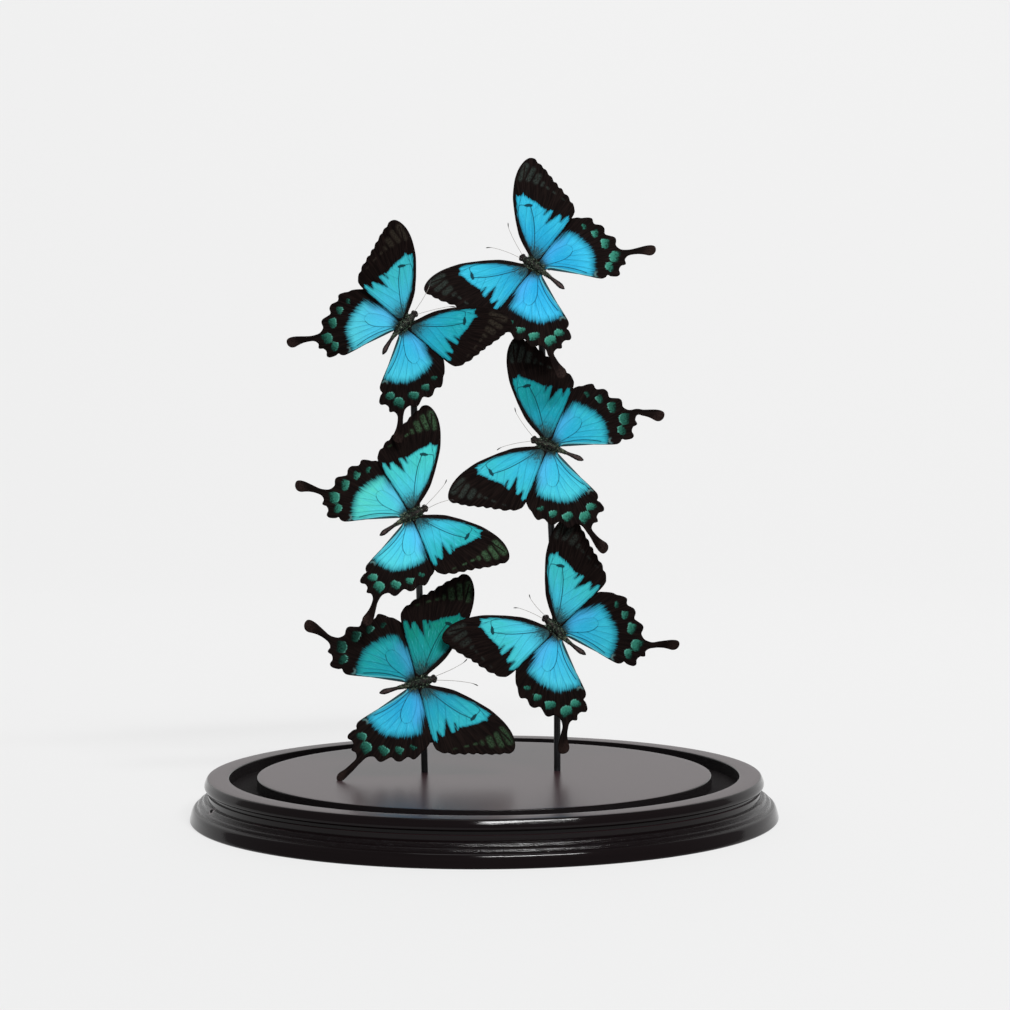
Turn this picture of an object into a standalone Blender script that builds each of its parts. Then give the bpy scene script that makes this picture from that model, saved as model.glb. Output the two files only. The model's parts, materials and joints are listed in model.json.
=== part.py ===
"""Six swallowtail butterflies set on two slim rods above a round turned base.

Metres, +Z up. The origin is the centre of the base's underside, and the butterflies' upper sides face -Y.
"""

import math

import bmesh
import bpy
from mathutils import Matrix, Vector

MM = 0.001

# Base, in millimetres: a turned disc with a moulded edge and a ring groove round a flush centre disc.
BASE_HEIGHT = 20.0
DISC_RADIUS = 108.1
GROOVE_OUTER_RADIUS = 121.2
GROOVE_DEPTH = 6.0
RIM_RADIUS = 131.6
BEAD_RADIUS = 132.3
FOOT_RADIUS = 139.8
FOOT_HEIGHT = 10.5
EDGE_BREAK = 0.5
BASE_SIDES = 64

# Rods, in millimetres: x and height along each centre line from the disc up, at one depth each.
ROD_DIAMETER = 3.2
ROD_HOLE_DEPTH = 9.0
FIT_GAP = 0.3
ROD_HOLE_SIDES = 12
ROD_DEPTHS = {"rod_left": 3.0, "rod_right": 6.0}
ROD_ROUTES = {
    "rod_left": [(-28.6, 20.0), (-29.8, 70.0), (-31.8, 150.0), (-33.9, 235.0)],
    "rod_right": [(34.9, 20.0), (35.0, 66.0), (34.8, 82.0), (33.9, 102.0), (31.7, 150.0), (26.2, 261.0)],
}

# The butterfly of size 1, in millimetres: +X to its right, +Y to its head, +Z up from its back.
# An outline runs from the wing's root along the leading edge, round the tip and back.
FOREWING = [
    (0.6, 4.2), (2.6, 5.6), (7.0, 14.0), (12.5, 20.6), (18.0, 26.0), (25.0, 31.2), (32.0, 34.4),
    (38.0, 35.0), (41.5, 33.5), (42.2, 31.0), (41.4, 26.4), (39.8, 20.4), (38.2, 14.9), (37.0, 9.4),
    (35.4, 4.4), (33.6, 1.2), (31.0, -0.4), (26.0, -0.7), (12.0, -0.1), (4.5, 0.8), (0.6, 1.6),
]
HINDWING = [
    (0.6, -1.0), (6.0, 1.2), (14.0, 2.4), (22.0, 2.2), (27.2, 0.6), (29.8, -1.9), (31.9, -5.1),
    (34.3, -8.6), (33.0, -11.6), (33.9, -14.6), (33.8, -16.8), (31.4, -19.2), (32.3, -22.8),
    (31.8, -25.0), (29.3, -26.8), (28.9, -29.4), (30.2, -32.1), (33.2, -35.1), (37.3, -38.6),
    (39.0, -41.4), (38.2, -43.3), (35.8, -44.0), (33.7, -42.6), (31.8, -38.3), (29.0, -35.0),
    (26.2, -34.0), (24.2, -35.6), (22.0, -34.3), (19.8, -34.7), (18.2, -36.2), (16.2, -35.0),
    (15.0, -32.0), (13.2, -31.2), (11.4, -29.2), (9.4, -24.0), (7.6, -19.0), (5.0, -11.5),
    (2.9, -6.8), (0.6, -4.6),
]
TAIL_ROOT = Vector((29.3, -33.0))
TAIL_DIRECTION = Vector((0.66, -0.75))
TAIL_BEND_START = 1.5
TAIL_BEND_LENGTH = 5.0
FOREWING_HINGE = Vector((2.2, 4.5))
HINDWING_HINGE = Vector((2.0, -1.0))
HINGE_HEIGHT = 0.8
FOREWING_SPAN_Z = (0.0, 0.6)
HINDWING_SPAN_Z = (-0.45, 0.15)

# Body stations from the head to the tip of the abdomen: y, z of the centre, half width, half depth.
BODY = [
    (8.9, 0.3, 0.5, 0.4), (8.2, 0.3, 1.5, 1.2), (7.0, 0.3, 1.7, 1.3), (6.0, 0.2, 1.3, 1.2),
    (4.6, 0.1, 2.2, 2.3), (2.0, 0.0, 2.6, 2.8), (-1.5, 0.0, 2.5, 2.7), (-4.4, 0.1, 1.9, 2.0),
    (-6.2, 0.2, 1.4, 1.5), (-10.0, 0.0, 1.25, 1.4), (-14.5, -0.3, 1.5, 1.5), (-17.0, -0.5, 1.0, 1.0),
    (-18.0, -0.6, 0.4, 0.4),
]
WAIST_Y = -5.0
BODY_SIDES = 10

# Antennae and legs: round stalks, given as their points and radii.
ANTENNA_ROOT = Vector((0.8, 7.6, 1.0))
ANTENNA_TIP_HEIGHT = 2.8
ANTENNA_ARCH = 1.0
ANTENNA_RADII = [0.25, 0.22, 0.22, 0.35, 0.3]
LEG_ROOTS_Y = (3.8, 1.0, -1.8)
LEG_POINTS = [(1.2, 0.0, -1.6), (3.6, -1.2, -2.3), (2.6, -4.6, -2.4)]
LEG_RADII = [0.3, 0.25, 0.2]
STALK_SIDES = 3


class Specimen:
    """How one butterfly sits and was spread. Lengths are in millimetres and angles in degrees.

    It is turned by heading in its own plane, anticlockwise from head up, then by nod, which brings its
    upper end to the front, then by yaw about the vertical. The pairs are its right and its left side.
    """

    def __init__(self, place, size, heading, nod, yaw, fore_spread, hind_spread, fore_lift, hind_lift,
                 tail_turn, antenna_tips, abdomen_sway, colour):
        self.place, self.size = place, size
        self.heading, self.nod, self.yaw = heading, nod, yaw
        self.fore_spread, self.hind_spread = fore_spread, hind_spread
        self.fore_lift, self.hind_lift = fore_lift, hind_lift
        self.tail_turn = tail_turn
        self.antenna_tips = antenna_tips
        self.abdomen_sway = abdomen_sway
        self.colour = colour

    def matrix(self):
        turn = Matrix.Rotation(math.radians(self.yaw), 4, "Z")
        lean = Matrix.Rotation(math.radians(90.0 + self.nod), 4, "X")
        face = Matrix.Rotation(math.radians(self.heading), 4, "Z")
        return Matrix.Translation(Vector(self.place) * MM) @ turn @ lean @ face


SPECIMENS = {
    "butterfly_top_left": Specimen(
        place=(-37.2, -1.5, 233.8), size=0.975, heading=-44.5, nod=8.0, yaw=0.5,
        fore_spread=(6.5, 0.5), hind_spread=(2.0, -2.5), fore_lift=(18.0, 19.0), hind_lift=(17.5, 15.5),
        tail_turn=(-3.0, -1.0), antenna_tips=((11.1, 24.1), (-5.2, 24.9)), abdomen_sway=2.7,
        colour=(0.05, 0.50, 0.70)),
    "butterfly_middle_left": Specimen(
        place=(-34.1, -1.6, 143.2), size=0.992, heading=-61.5, nod=-11.5, yaw=-4.0,
        fore_spread=(-3.5, -3.0), hind_spread=(-0.5, 1.5), fore_lift=(12.0, 10.0), hind_lift=(10.5, 8.5),
        tail_turn=(2.0, 2.0), antenna_tips=((3.0, 21.5), (-6.3, 23.2)), abdomen_sway=1.1,
        colour=(0.06, 0.56, 0.66)),
    "butterfly_bottom_left": Specimen(
        place=(-31.4, -2.4, 63.6), size=1.057, heading=-76.5, nod=-10.5, yaw=4.0,
        fore_spread=(0.0, -0.5), hind_spread=(-2.0, -1.0), fore_lift=(14.0, 8.0), hind_lift=(14.5, 6.5),
        tail_turn=(-18.0, 7.0), antenna_tips=((7.5, 26.0), (-4.2, 24.1)), abdomen_sway=0.2,
        colour=(0.02, 0.36, 0.42)),
    "butterfly_top_right": Specimen(
        place=(24.7, 1.6, 261.1), size=1.002, heading=54.5, nod=-14.0, yaw=-6.5,
        fore_spread=(0.0, 2.0), hind_spread=(3.0, 2.0), fore_lift=(1.0, 6.0), hind_lift=(-3.5, 5.0),
        tail_turn=(-1.0, -16.0), antenna_tips=((8.8, 22.9), (-5.9, 24.0)), abdomen_sway=-0.7,
        colour=(0.06, 0.42, 0.80)),
    "butterfly_middle_right": Specimen(
        place=(30.9, 1.1, 176.2), size=1.008, heading=68.0, nod=-5.5, yaw=-4.0,
        fore_spread=(-0.5, 0.0), hind_spread=(1.5, 1.0), fore_lift=(3.0, 6.0), hind_lift=(1.0, 5.0),
        tail_turn=(-29.0, -12.0), antenna_tips=((10.0, 21.6), (-10.7, 21.9)), abdomen_sway=-0.2,
        colour=(0.05, 0.50, 0.70)),
    "butterfly_bottom_right": Specimen(
        place=(34.5, 1.4, 88.4), size=1.027, heading=43.5, nod=-3.0, yaw=1.0,
        fore_spread=(0.5, 1.0), hind_spread=(-4.5, -3.0), fore_lift=(7.0, 8.0), hind_lift=(4.5, 6.0),
        tail_turn=(11.0, 11.0), antenna_tips=((1.6, 20.7), (-6.7, 21.4)), abdomen_sway=1.8,
        colour=(0.05, 0.48, 0.74)),
}


def clear_scene():
    for thing in list(bpy.data.objects):
        bpy.data.objects.remove(thing, do_unlink=True)


def make_material(name, colour, roughness, metallic=0.0):
    material = bpy.data.materials.new(name)
    material.use_nodes = True
    shader = material.node_tree.nodes["Principled BSDF"]
    shader.inputs["Base Color"].default_value = (*colour, 1.0)
    shader.inputs["Roughness"].default_value = roughness
    shader.inputs["Metallic"].default_value = metallic
    return material


def loft(name, rings, collection):
    """Join rings with the same number of points by strips of quads, and close both ends."""
    shape = bmesh.new()
    loops = [[shape.verts.new(point) for point in ring] for ring in rings]
    for near, far in zip(loops, loops[1:]):
        for i in range(len(near)):
            j = (i + 1) % len(near)
            shape.faces.new((near[i], near[j], far[j], far[i]))
    shape.faces.new(loops[0])
    shape.faces.new(loops[-1])
    bmesh.ops.recalc_face_normals(shape, faces=shape.faces)
    mesh = bpy.data.meshes.new(name)
    shape.to_mesh(mesh)
    shape.free()
    solid = bpy.data.objects.new(name, mesh)
    collection.objects.link(solid)
    return solid


def shade_round(solid):
    solid.data.shade_smooth()
    solid.data.set_sharp_from_angle(angle=math.radians(35.0))


def ring_around(centre, across, up, half_width, half_depth, sides):
    ring = []
    for i in range(sides):
        angle = math.tau * i / sides
        ring.append(centre + across * (half_width * math.cos(angle)) + up * (half_depth * math.sin(angle)))
    return ring


def stalk_rings(points, radii, sides):
    """Rings square to a line of points, with a radius at each point."""
    rings = []
    for i, (point, radius) in enumerate(zip(points, radii)):
        ahead = points[min(i + 1, len(points) - 1)]
        behind = points[max(i - 1, 0)]
        along = (ahead - behind).normalized()
        across = along.cross(Vector((0.0, 0.0, 1.0)))
        if across.length < 0.1:
            across = along.cross(Vector((0.0, 1.0, 0.0)))
        across.normalize()
        rings.append(ring_around(point, across, across.cross(along), radius, radius, sides))
    return rings


def bulge(start, end, rise, steps):
    """Points of an arc from start to end, without start. It stands out by rise, or in if negative."""
    start, end = Vector(start), Vector(end)
    chord = end - start
    outward = Vector((-chord.y, chord.x)).normalized()
    radius = (chord.length ** 2 / 4 + rise ** 2) / (2 * abs(rise))
    half_angle = math.asin(chord.length / 2 / radius)
    side = math.copysign(1.0, rise)
    centre = (start + end) / 2 + outward * (rise - side * radius)
    points = []
    for i in range(1, steps + 1):
        angle = half_angle * (2 * i / steps - 1)
        offset = chord.normalized() * math.sin(angle) + outward * (side * math.cos(angle))
        points.append(centre + offset * radius)
    return points


def base_profile():
    """The turned outline, as radius and height, from the centre disc over the rim down to the foot."""
    floor = BASE_HEIGHT - GROOVE_DEPTH
    broken = BASE_HEIGHT - EDGE_BREAK
    line_height = 19.1
    bead_height = 16.8
    cove_height = 13.2
    foot_edge = (BEAD_RADIUS + 1.2, FOOT_HEIGHT)
    toe = (FOOT_RADIUS, 1.8)
    profile = [
        (DISC_RADIUS - EDGE_BREAK, BASE_HEIGHT), (DISC_RADIUS, broken),
        (DISC_RADIUS, floor), (GROOVE_OUTER_RADIUS, floor),
        (GROOVE_OUTER_RADIUS, broken), (GROOVE_OUTER_RADIUS + EDGE_BREAK, BASE_HEIGHT),
        (RIM_RADIUS - EDGE_BREAK, BASE_HEIGHT), (RIM_RADIUS, broken), (RIM_RADIUS, line_height),
    ]
    profile += bulge((RIM_RADIUS, line_height), (BEAD_RADIUS, bead_height), 0.9, 2)
    profile += bulge((BEAD_RADIUS, bead_height), (BEAD_RADIUS, cove_height), 1.0, 3)
    profile += bulge((BEAD_RADIUS, cove_height), foot_edge, -0.75, 2)
    profile += bulge(foot_edge, toe, 1.4, 4)
    profile += bulge(toe, (FOOT_RADIUS - 0.9, 0.0), 0.3, 1)
    return profile


def make_base(collection, parent):
    rings = []
    for radius, height in base_profile():
        ring = []
        for i in range(BASE_SIDES):
            angle = math.tau * i / BASE_SIDES
            ring.append(Vector((radius * math.cos(angle), radius * math.sin(angle), height)) * MM)
        rings.append(ring)
    base = loft("base", rings, collection)
    base.parent = parent
    base.data.materials.append(make_material("black_satin_paint", (0.012, 0.011, 0.012), 0.35))
    shade_round(base)
    for name in ROD_ROUTES:
        drill(base, name, collection)
    return base


def rod_points(name, bottom):
    """The rod's centre line in metres, carried on down below the disc to the height bottom."""
    route = ROD_ROUTES[name]
    (x0, z0), (x1, z1) = route[:2]
    foot_x = x0 + (x1 - x0) * (bottom - z0) / (z1 - z0)
    return [Vector((x, ROD_DEPTHS[name], z)) * MM for x, z in [(foot_x, bottom)] + route]


def drill(base, name, collection):
    """Cut the blind hole that a rod stands in."""
    hole_bottom = BASE_HEIGHT - ROD_HOLE_DEPTH
    low, disc_top, above = rod_points(name, hole_bottom)[:3]
    high = disc_top + (above - disc_top) * 0.1
    radius = (ROD_DIAMETER / 2 + FIT_GAP) / math.cos(math.pi / ROD_HOLE_SIDES) * MM
    rings = [ring_around(point, Vector((1, 0, 0)), Vector((0, 1, 0)), radius, radius, ROD_HOLE_SIDES)
             for point in (low, high)]
    cutter = loft(name + "_hole", rings, collection)
    cutter.hide_render = True
    cutter.display_type = "WIRE"
    cut = base.modifiers.new(name + "_hole", "BOOLEAN")
    cut.operation = "DIFFERENCE"
    cut.solver = "EXACT"
    cut.object = cutter


def make_rod(name, material, collection, parent):
    """A round rod that stands in its hole with a gap below it."""
    points = rod_points(name, BASE_HEIGHT - ROD_HOLE_DEPTH + FIT_GAP)
    curve = bpy.data.curves.new(name, "CURVE")
    curve.dimensions = "3D"
    curve.bevel_depth = ROD_DIAMETER / 2 * MM
    curve.bevel_resolution = 2
    curve.use_fill_caps = True
    line = curve.splines.new("POLY")
    line.points.add(len(points) - 1)
    for knot, point in zip(line.points, points):
        knot.co = (*point, 1.0)
    curve.materials.append(material)
    rod = bpy.data.objects.new(name, curve)
    collection.objects.link(rod)
    rod.parent = parent
    return rod


def turn_tail(point, angle):
    """Swing the tail of a hindwing sideways about its root, easing in over its first millimetres."""
    along = (point - TAIL_ROOT).dot(TAIL_DIRECTION)
    share = min(max((along + TAIL_BEND_START) / TAIL_BEND_LENGTH, 0.0), 1.0)
    if point.x < 25.5 or point.y > -30.0:
        share = 0.0
    share = share * share * (3.0 - 2.0 * share)
    return TAIL_ROOT + Matrix.Rotation(math.radians(angle) * share, 2) @ (point - TAIL_ROOT)


def wing_rings(outline, hinge, span_z, side, spread, lift):
    """The lower and upper outline of a wing turned to the head by spread and raised by lift."""
    turn = Matrix.Rotation(math.radians(spread), 2)
    rise = math.radians(lift)
    rings = []
    for thickness in span_z:
        ring = []
        for point in outline:
            x, y = turn @ (Vector(point) - hinge)
            ring.append(Vector((side * (hinge.x + x * math.cos(rise)), hinge.y + y,
                                HINGE_HEIGHT + x * math.sin(rise) + thickness)))
        rings.append(ring)
    return rings


def body_rings(sway):
    """Rings from the head to the abdomen's tip, which lies to one side by sway."""
    rings = []
    for y, z, half_width, half_depth in BODY:
        behind_waist = max(WAIST_Y - y, 0.0) / (WAIST_Y - BODY[-1][0])
        centre = Vector((sway * behind_waist ** 1.5, y, z))
        rings.append(ring_around(centre, Vector((1, 0, 0)), Vector((0, 0, 1)), half_width, half_depth,
                                 BODY_SIDES))
    return rings


def antenna_points(side, tip):
    """A line from the forehead that arches up and outward to its tip."""
    root = Vector((side * ANTENNA_ROOT.x, ANTENNA_ROOT.y, ANTENNA_ROOT.z))
    end = Vector((tip[0], tip[1], ANTENNA_TIP_HEIGHT))
    count = len(ANTENNA_RADII)
    points = []
    for i in range(count):
        t = i / (count - 1)
        arch = Vector((0.0, 0.0, ANTENNA_ARCH * 4.0 * t * (1.0 - t)))
        points.append(root.lerp(end, t) + arch)
    return points


def leg_points(side, root_y):
    return [Vector((side * x, root_y + y, z)) for x, y, z in LEG_POINTS]


def butterfly_parts(specimen):
    """Every part that is fused to the body, as a name and its rings."""
    parts = {}
    for i, (word, side) in enumerate((("right", 1.0), ("left", -1.0))):
        parts["forewing_" + word] = wing_rings(
            FOREWING, FOREWING_HINGE, FOREWING_SPAN_Z, side, specimen.fore_spread[i], specimen.fore_lift[i])
        tailed = [turn_tail(Vector(point), specimen.tail_turn[i]) for point in HINDWING]
        parts["hindwing_" + word] = wing_rings(
            tailed, HINDWING_HINGE, HINDWING_SPAN_Z, side, specimen.hind_spread[i], specimen.hind_lift[i])
        parts["antenna_" + word] = stalk_rings(
            antenna_points(side, specimen.antenna_tips[i]), ANTENNA_RADII, STALK_SIDES)
        for number, root_y in enumerate(LEG_ROOTS_Y, start=1):
            parts[f"leg_{word}_{number}"] = stalk_rings(leg_points(side, root_y), LEG_RADII, STALK_SIDES)
    return parts


def make_butterfly(name, specimen, collection, parent):
    """One solid: the body joined with its wings, antennae and legs."""
    scale = specimen.size * MM

    def scaled(rings):
        return [[point * scale for point in ring] for ring in rings]

    body = loft(name, scaled(body_rings(specimen.abdomen_sway)), collection)
    body.parent = parent
    body.matrix_local = specimen.matrix()
    body.data.materials.append(make_material(name + "_wings", specimen.colour, 0.55))
    fused = bpy.data.collections.new(name + "_fused")
    collection.children.link(fused)
    for part_name, rings in butterfly_parts(specimen).items():
        part = loft(name + "_" + part_name, scaled(rings), fused)
        part.parent = body
        part.hide_render = True
        part.display_type = "WIRE"
    join = body.modifiers.new("fused", "BOOLEAN")
    join.operation = "UNION"
    join.solver = "EXACT"
    join.operand_type = "COLLECTION"
    join.collection = fused
    return body


def main():
    clear_scene()
    collection = bpy.context.scene.collection
    display = bpy.data.objects.new("display", None)
    collection.objects.link(display)
    make_base(collection, display)
    steel = make_material("blackened_steel", (0.03, 0.035, 0.04), 0.35, metallic=1.0)
    for name in ROD_ROUTES:
        make_rod(name, steel, collection, display)
    for name, specimen in SPECIMENS.items():
        make_butterfly(name, specimen, collection, display)


main()
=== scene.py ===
# %% [markdown]
# # Swallowtails above a turned base
# The object is a display of six dried butterflies on two thin rods, over a round wooden base painted black.
# The CAD model gives every place and size. It is loaded first, as a fixed frame, and each piece made here
# is put where the CAD says and rides on the frame's one body.

# %% Load the frame
import json
import math

import bpy
import numpy as np
from mathutils import Matrix, Vector
from mathutils.geometry import delaunay_2d_cdt

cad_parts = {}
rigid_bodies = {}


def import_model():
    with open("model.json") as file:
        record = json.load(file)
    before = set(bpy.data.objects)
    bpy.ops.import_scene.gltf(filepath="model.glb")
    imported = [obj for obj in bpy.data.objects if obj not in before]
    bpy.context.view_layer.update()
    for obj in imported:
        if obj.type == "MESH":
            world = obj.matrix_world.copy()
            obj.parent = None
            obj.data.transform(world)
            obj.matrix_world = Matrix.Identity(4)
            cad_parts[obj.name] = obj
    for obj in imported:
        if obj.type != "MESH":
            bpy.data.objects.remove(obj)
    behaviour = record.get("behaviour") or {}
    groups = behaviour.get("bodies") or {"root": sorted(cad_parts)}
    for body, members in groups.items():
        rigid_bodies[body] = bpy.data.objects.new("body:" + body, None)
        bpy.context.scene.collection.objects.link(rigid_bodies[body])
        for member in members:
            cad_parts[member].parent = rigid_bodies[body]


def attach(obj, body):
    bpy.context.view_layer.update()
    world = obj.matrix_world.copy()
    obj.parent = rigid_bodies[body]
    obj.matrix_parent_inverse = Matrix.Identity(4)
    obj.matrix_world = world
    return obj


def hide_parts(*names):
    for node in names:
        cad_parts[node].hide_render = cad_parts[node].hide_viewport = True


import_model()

MM = 0.001
scene = bpy.context.scene
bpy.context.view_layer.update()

# %% [markdown]
# # Camera
# The photograph was taken from the front, a little above the base, with a long lens. The camera stands 1.2
# m away, tipped down by under three degrees, with a hair of roll as in the photograph. A longer lens
# further off would flatten the base's ellipse, so both the distance and the lens are matched.

# %% Set up the camera
PHOTO_WIDTH = 1010
FOCAL_PIXELS = 2563.9
SENSOR_WIDTH = 36.0
CAMERA_PLACE = (10.24, -1217.2, 204.9)
TIP_DOWN, ROLL = 2.675, -0.177

camera_data = bpy.data.cameras.new("camera")
camera_data.sensor_width = SENSOR_WIDTH
camera_data.lens = FOCAL_PIXELS * SENSOR_WIDTH / PHOTO_WIDTH
camera_data.clip_start = 0.01
camera_data.clip_end = 20.0
camera = bpy.data.objects.new("camera", camera_data)
scene.collection.objects.link(camera)
tip = Matrix.Rotation(math.radians(90.0 - TIP_DOWN), 4, "X")
roll = Matrix.Rotation(math.radians(ROLL), 4, "Z")
camera.matrix_world = Matrix.Translation(Vector(CAMERA_PLACE) * MM) @ tip @ roll
scene.camera = camera
scene.view_settings.view_transform = "Standard"
print("lens:", round(camera_data.lens, 2), "mm")

# %% [markdown]
# # Node helpers
# A finish is a tree of small nodes. These helpers add one node each and give back its output socket, so
# that a finish below reads like a sum. A socket knows the tree that it lies in, so only a node without any
# input has to be told where it goes.

# %% Helpers for nodes


def add_node(tree, kind, **settings):
    node = tree.nodes.new("ShaderNode" + kind)
    for name, setting in settings.items():
        setattr(node, name, setting)
    return node


def tree_of(*sources):
    """The node tree of the first socket among these sources."""
    return next(source.id_data for source in sources if isinstance(source, bpy.types.NodeSocket))


def join(socket, source):
    """Give a socket its input: another socket is linked to it, and anything else is its value."""
    if isinstance(source, bpy.types.NodeSocket):
        socket.id_data.links.new(source, socket)
    elif socket.type == "RGBA":
        socket.default_value = (*source[:3], 1.0)
    else:
        socket.default_value = source


def fill(node, *sources):
    """Join the node's first inputs to these sources, in order."""
    for socket, source in zip(node.inputs, sources):
        join(socket, source)
    return node


def feed(node, **sources):
    """Join the node's inputs to these sources by name, and give back its outputs."""
    for name, source in sources.items():
        join(node.inputs[name], source)
    return node.outputs


def calculate(operation, first, second=0.0):
    return fill(add_node(tree_of(first, second), "Math", operation=operation), first, second).outputs[0]


def plus(first, second):
    return calculate("ADD", first, second)


def minus(first, second):
    return calculate("SUBTRACT", first, second)


def times(first, second):
    return calculate("MULTIPLY", first, second)


def fade(value, start, end, low=0.0, high=1.0):
    """A soft step: low while value is at start, high once it is at end."""
    node = add_node(tree_of(value), "MapRange", interpolation_type="SMOOTHSTEP")
    return fill(node, value, start, end, low, high).outputs[0]


def tint(share, first, second):
    """The first colour where share is 0 and the second where it is 1."""
    node = add_node(tree_of(share), "Mix", data_type="RGBA")
    for socket, source in zip((node.inputs[0], node.inputs[6], node.inputs[7]), (share, first, second)):
        join(socket, source)
    return node.outputs[2]


def layered(colour, *layers):
    """A colour with others laid over it in turn, each by its mask."""
    for mask, over in layers:
        colour = tint(mask, colour, over)
    return colour


# %% [markdown]
# Patterns are laid over the surface by its place, a vector. Stretching that vector stretches the pattern,
# and noise of a few sizes laid over each other looks like grain.

# %% Helpers for patterns


def stretch(vector, factors):
    node = add_node(tree_of(vector), "VectorMath", operation="MULTIPLY")
    return fill(node, vector, factors).outputs[0]


def parts_of(vector):
    return fill(add_node(tree_of(vector), "SeparateXYZ"), vector).outputs


def vector_of(x, y, z):
    return fill(add_node(tree_of(x, y, z), "CombineXYZ"), x, y, z).outputs[0]


def grain(vector, scale, detail, roughness=0.5):
    """Noise with so many swells for each unit of the vector."""
    node = add_node(tree_of(vector), "TexNoise")
    return feed(node, Vector=vector, Scale=scale, Detail=detail, Roughness=roughness)["Fac"]


def cells(vector, scale):
    """A pattern of cells, with the distance from each cell's centre and a colour of its own."""
    return feed(add_node(tree_of(vector), "TexVoronoi", feature="F1"), Vector=vector, Scale=scale)


def bump(height, strength, distance):
    node = add_node(tree_of(height), "Bump")
    return feed(node, Height=height, Strength=strength, Distance=distance)["Normal"]


def painted(tree, name, kind="Fac"):
    """A value or a vector that the mesh carries at its points, under this name."""
    return add_node(tree, "Attribute", attribute_name=name).outputs[kind]


def place_in_mm(tree):
    """Where a point lies on the object, in millimetres."""
    return stretch(add_node(tree, "TexCoord").outputs["Object"], (1.0 / MM, 1.0 / MM, 1.0 / MM))


def facing(tree):
    """The three parts of the direction in which the surface faces."""
    return parts_of(add_node(tree, "NewGeometry").outputs["Normal"])


# %% [markdown]
# An effect that more than one finish needs is built once, as a node group with named inputs and outputs. It
# gives back masks and heights only. The shader stays in the material, where what is the same all over is
# set on its own sockets, and what changes over the surface is joined to colour, roughness and normal.

# %% Helpers for node groups and materials


def start_group(name, inputs, outputs):
    """A node group with named inputs, each with a kind and a starting value, and named outputs."""
    group = bpy.data.node_groups.new(name, "ShaderNodeTree")
    for socket_name, (kind, start) in inputs.items():
        socket = group.interface.new_socket(socket_name, in_out="INPUT", socket_type="NodeSocket" + kind)
        if start is not None:
            socket.default_value = start
    for socket_name in outputs:
        group.interface.new_socket(socket_name, in_out="OUTPUT", socket_type="NodeSocketFloat")
    print("group:", name, "with", list(inputs), "to", outputs)
    return group, group.nodes.new("NodeGroupInput").outputs, group.nodes.new("NodeGroupOutput").inputs


def use_group(group, **inputs):
    return feed(add_node(tree_of(*inputs.values()), "Group", node_tree=group), **inputs)


def start_material(name, **constants):
    """A material with a Principled shader, whose inputs that are the same all over are set directly."""
    material = bpy.data.materials.new(name)
    material.use_nodes = True
    shader = material.node_tree.nodes["Principled BSDF"]
    for socket_name, value in constants.items():
        shader.inputs[socket_name.replace("_", " ")].default_value = value
    return material, material.node_tree, shader.inputs


def finish_with(surface, colour, roughness, normal=None):
    """Join a finish's colour, roughness and, where it has one, its relief to the shader."""
    join(surface["Base Color"], colour)
    join(surface["Roughness"], roughness)
    if normal is not None:
        join(surface["Normal"], normal)


# %% [markdown]
# # Room and light
# The photograph has a seamless pale ground. A floor that curves up into a wall gives that with one sheet.
# The paper glows a little, as if lit from behind, which keeps the ground even and the shadows faint.

# %% Make the floor and backdrop
SWEEP_HALF_WIDTH = 4.0
SWEEP_FRONT, SWEEP_BACK, SWEEP_TOP = -4.0, 2.2, 3.5
SWEEP_CURVE = 0.9
CURVE_STEPS = 16
PAPER_FRONT, PAPER_BACK = (0.140, 0.140, 0.140), (0.240, 0.240, 0.240)

profile = [(SWEEP_FRONT, 0.0)]
for angle in np.linspace(0.0, math.pi / 2, CURVE_STEPS + 1):
    profile.append((SWEEP_BACK - SWEEP_CURVE + SWEEP_CURVE * math.sin(angle),
                    SWEEP_CURVE - SWEEP_CURVE * math.cos(angle)))
profile.append((SWEEP_BACK, SWEEP_TOP))
sweep_points = [(x, y, z) for y, z in profile for x in (-SWEEP_HALF_WIDTH, SWEEP_HALF_WIDTH)]
sweep_faces = [(2 * i, 2 * i + 1, 2 * i + 3, 2 * i + 2) for i in range(len(profile) - 1)]
sweep_mesh = bpy.data.meshes.new("sweep")
sweep_mesh.from_pydata(sweep_points, [], sweep_faces)
sweep_mesh.shade_smooth()
paper, tree, surface = start_material("backdrop_paper", Roughness=0.9, Specular_IOR_Level=0.1,
                                      Emission_Strength=0.652, Emission_Color=(1.0, 1.0, 1.0, 1.0))
to_the_back = parts_of(add_node(tree, "TexCoord").outputs["Object"])[1]
join(surface["Base Color"], tint(fade(to_the_back, -0.7, 1.4), PAPER_FRONT, PAPER_BACK))
sweep_mesh.materials.append(paper)
sweep = bpy.data.objects.new("sweep", sweep_mesh)
scene.collection.objects.link(sweep)
print("sweep:", len(sweep_faces), "faces")

# %% [markdown]
# The room is pale to look at, but sheds only part of that light, so that the black paint stays black. A
# long lamp in front lights the wings, and its reflection is the bright streak along each moulding of the
# base. A square lamp overhead gives the disc its soft sheen.

# %% Light the room
ROOM_SEEN, ROOM_LIGHT = 0.86, 0.28
LAMPS = {
    # place, aim, width and height in metres, and power in watts
    "front_softbox": ((0.79, -2.1, 1.9), (0.0, 0.0, 0.15), 1.68, 0.18, 100.0),
    "top_softbox": ((0.0, -0.35, 2.4), (0.0, 0.0, 0.0), 1.4, 1.0, 8.0),
}

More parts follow.
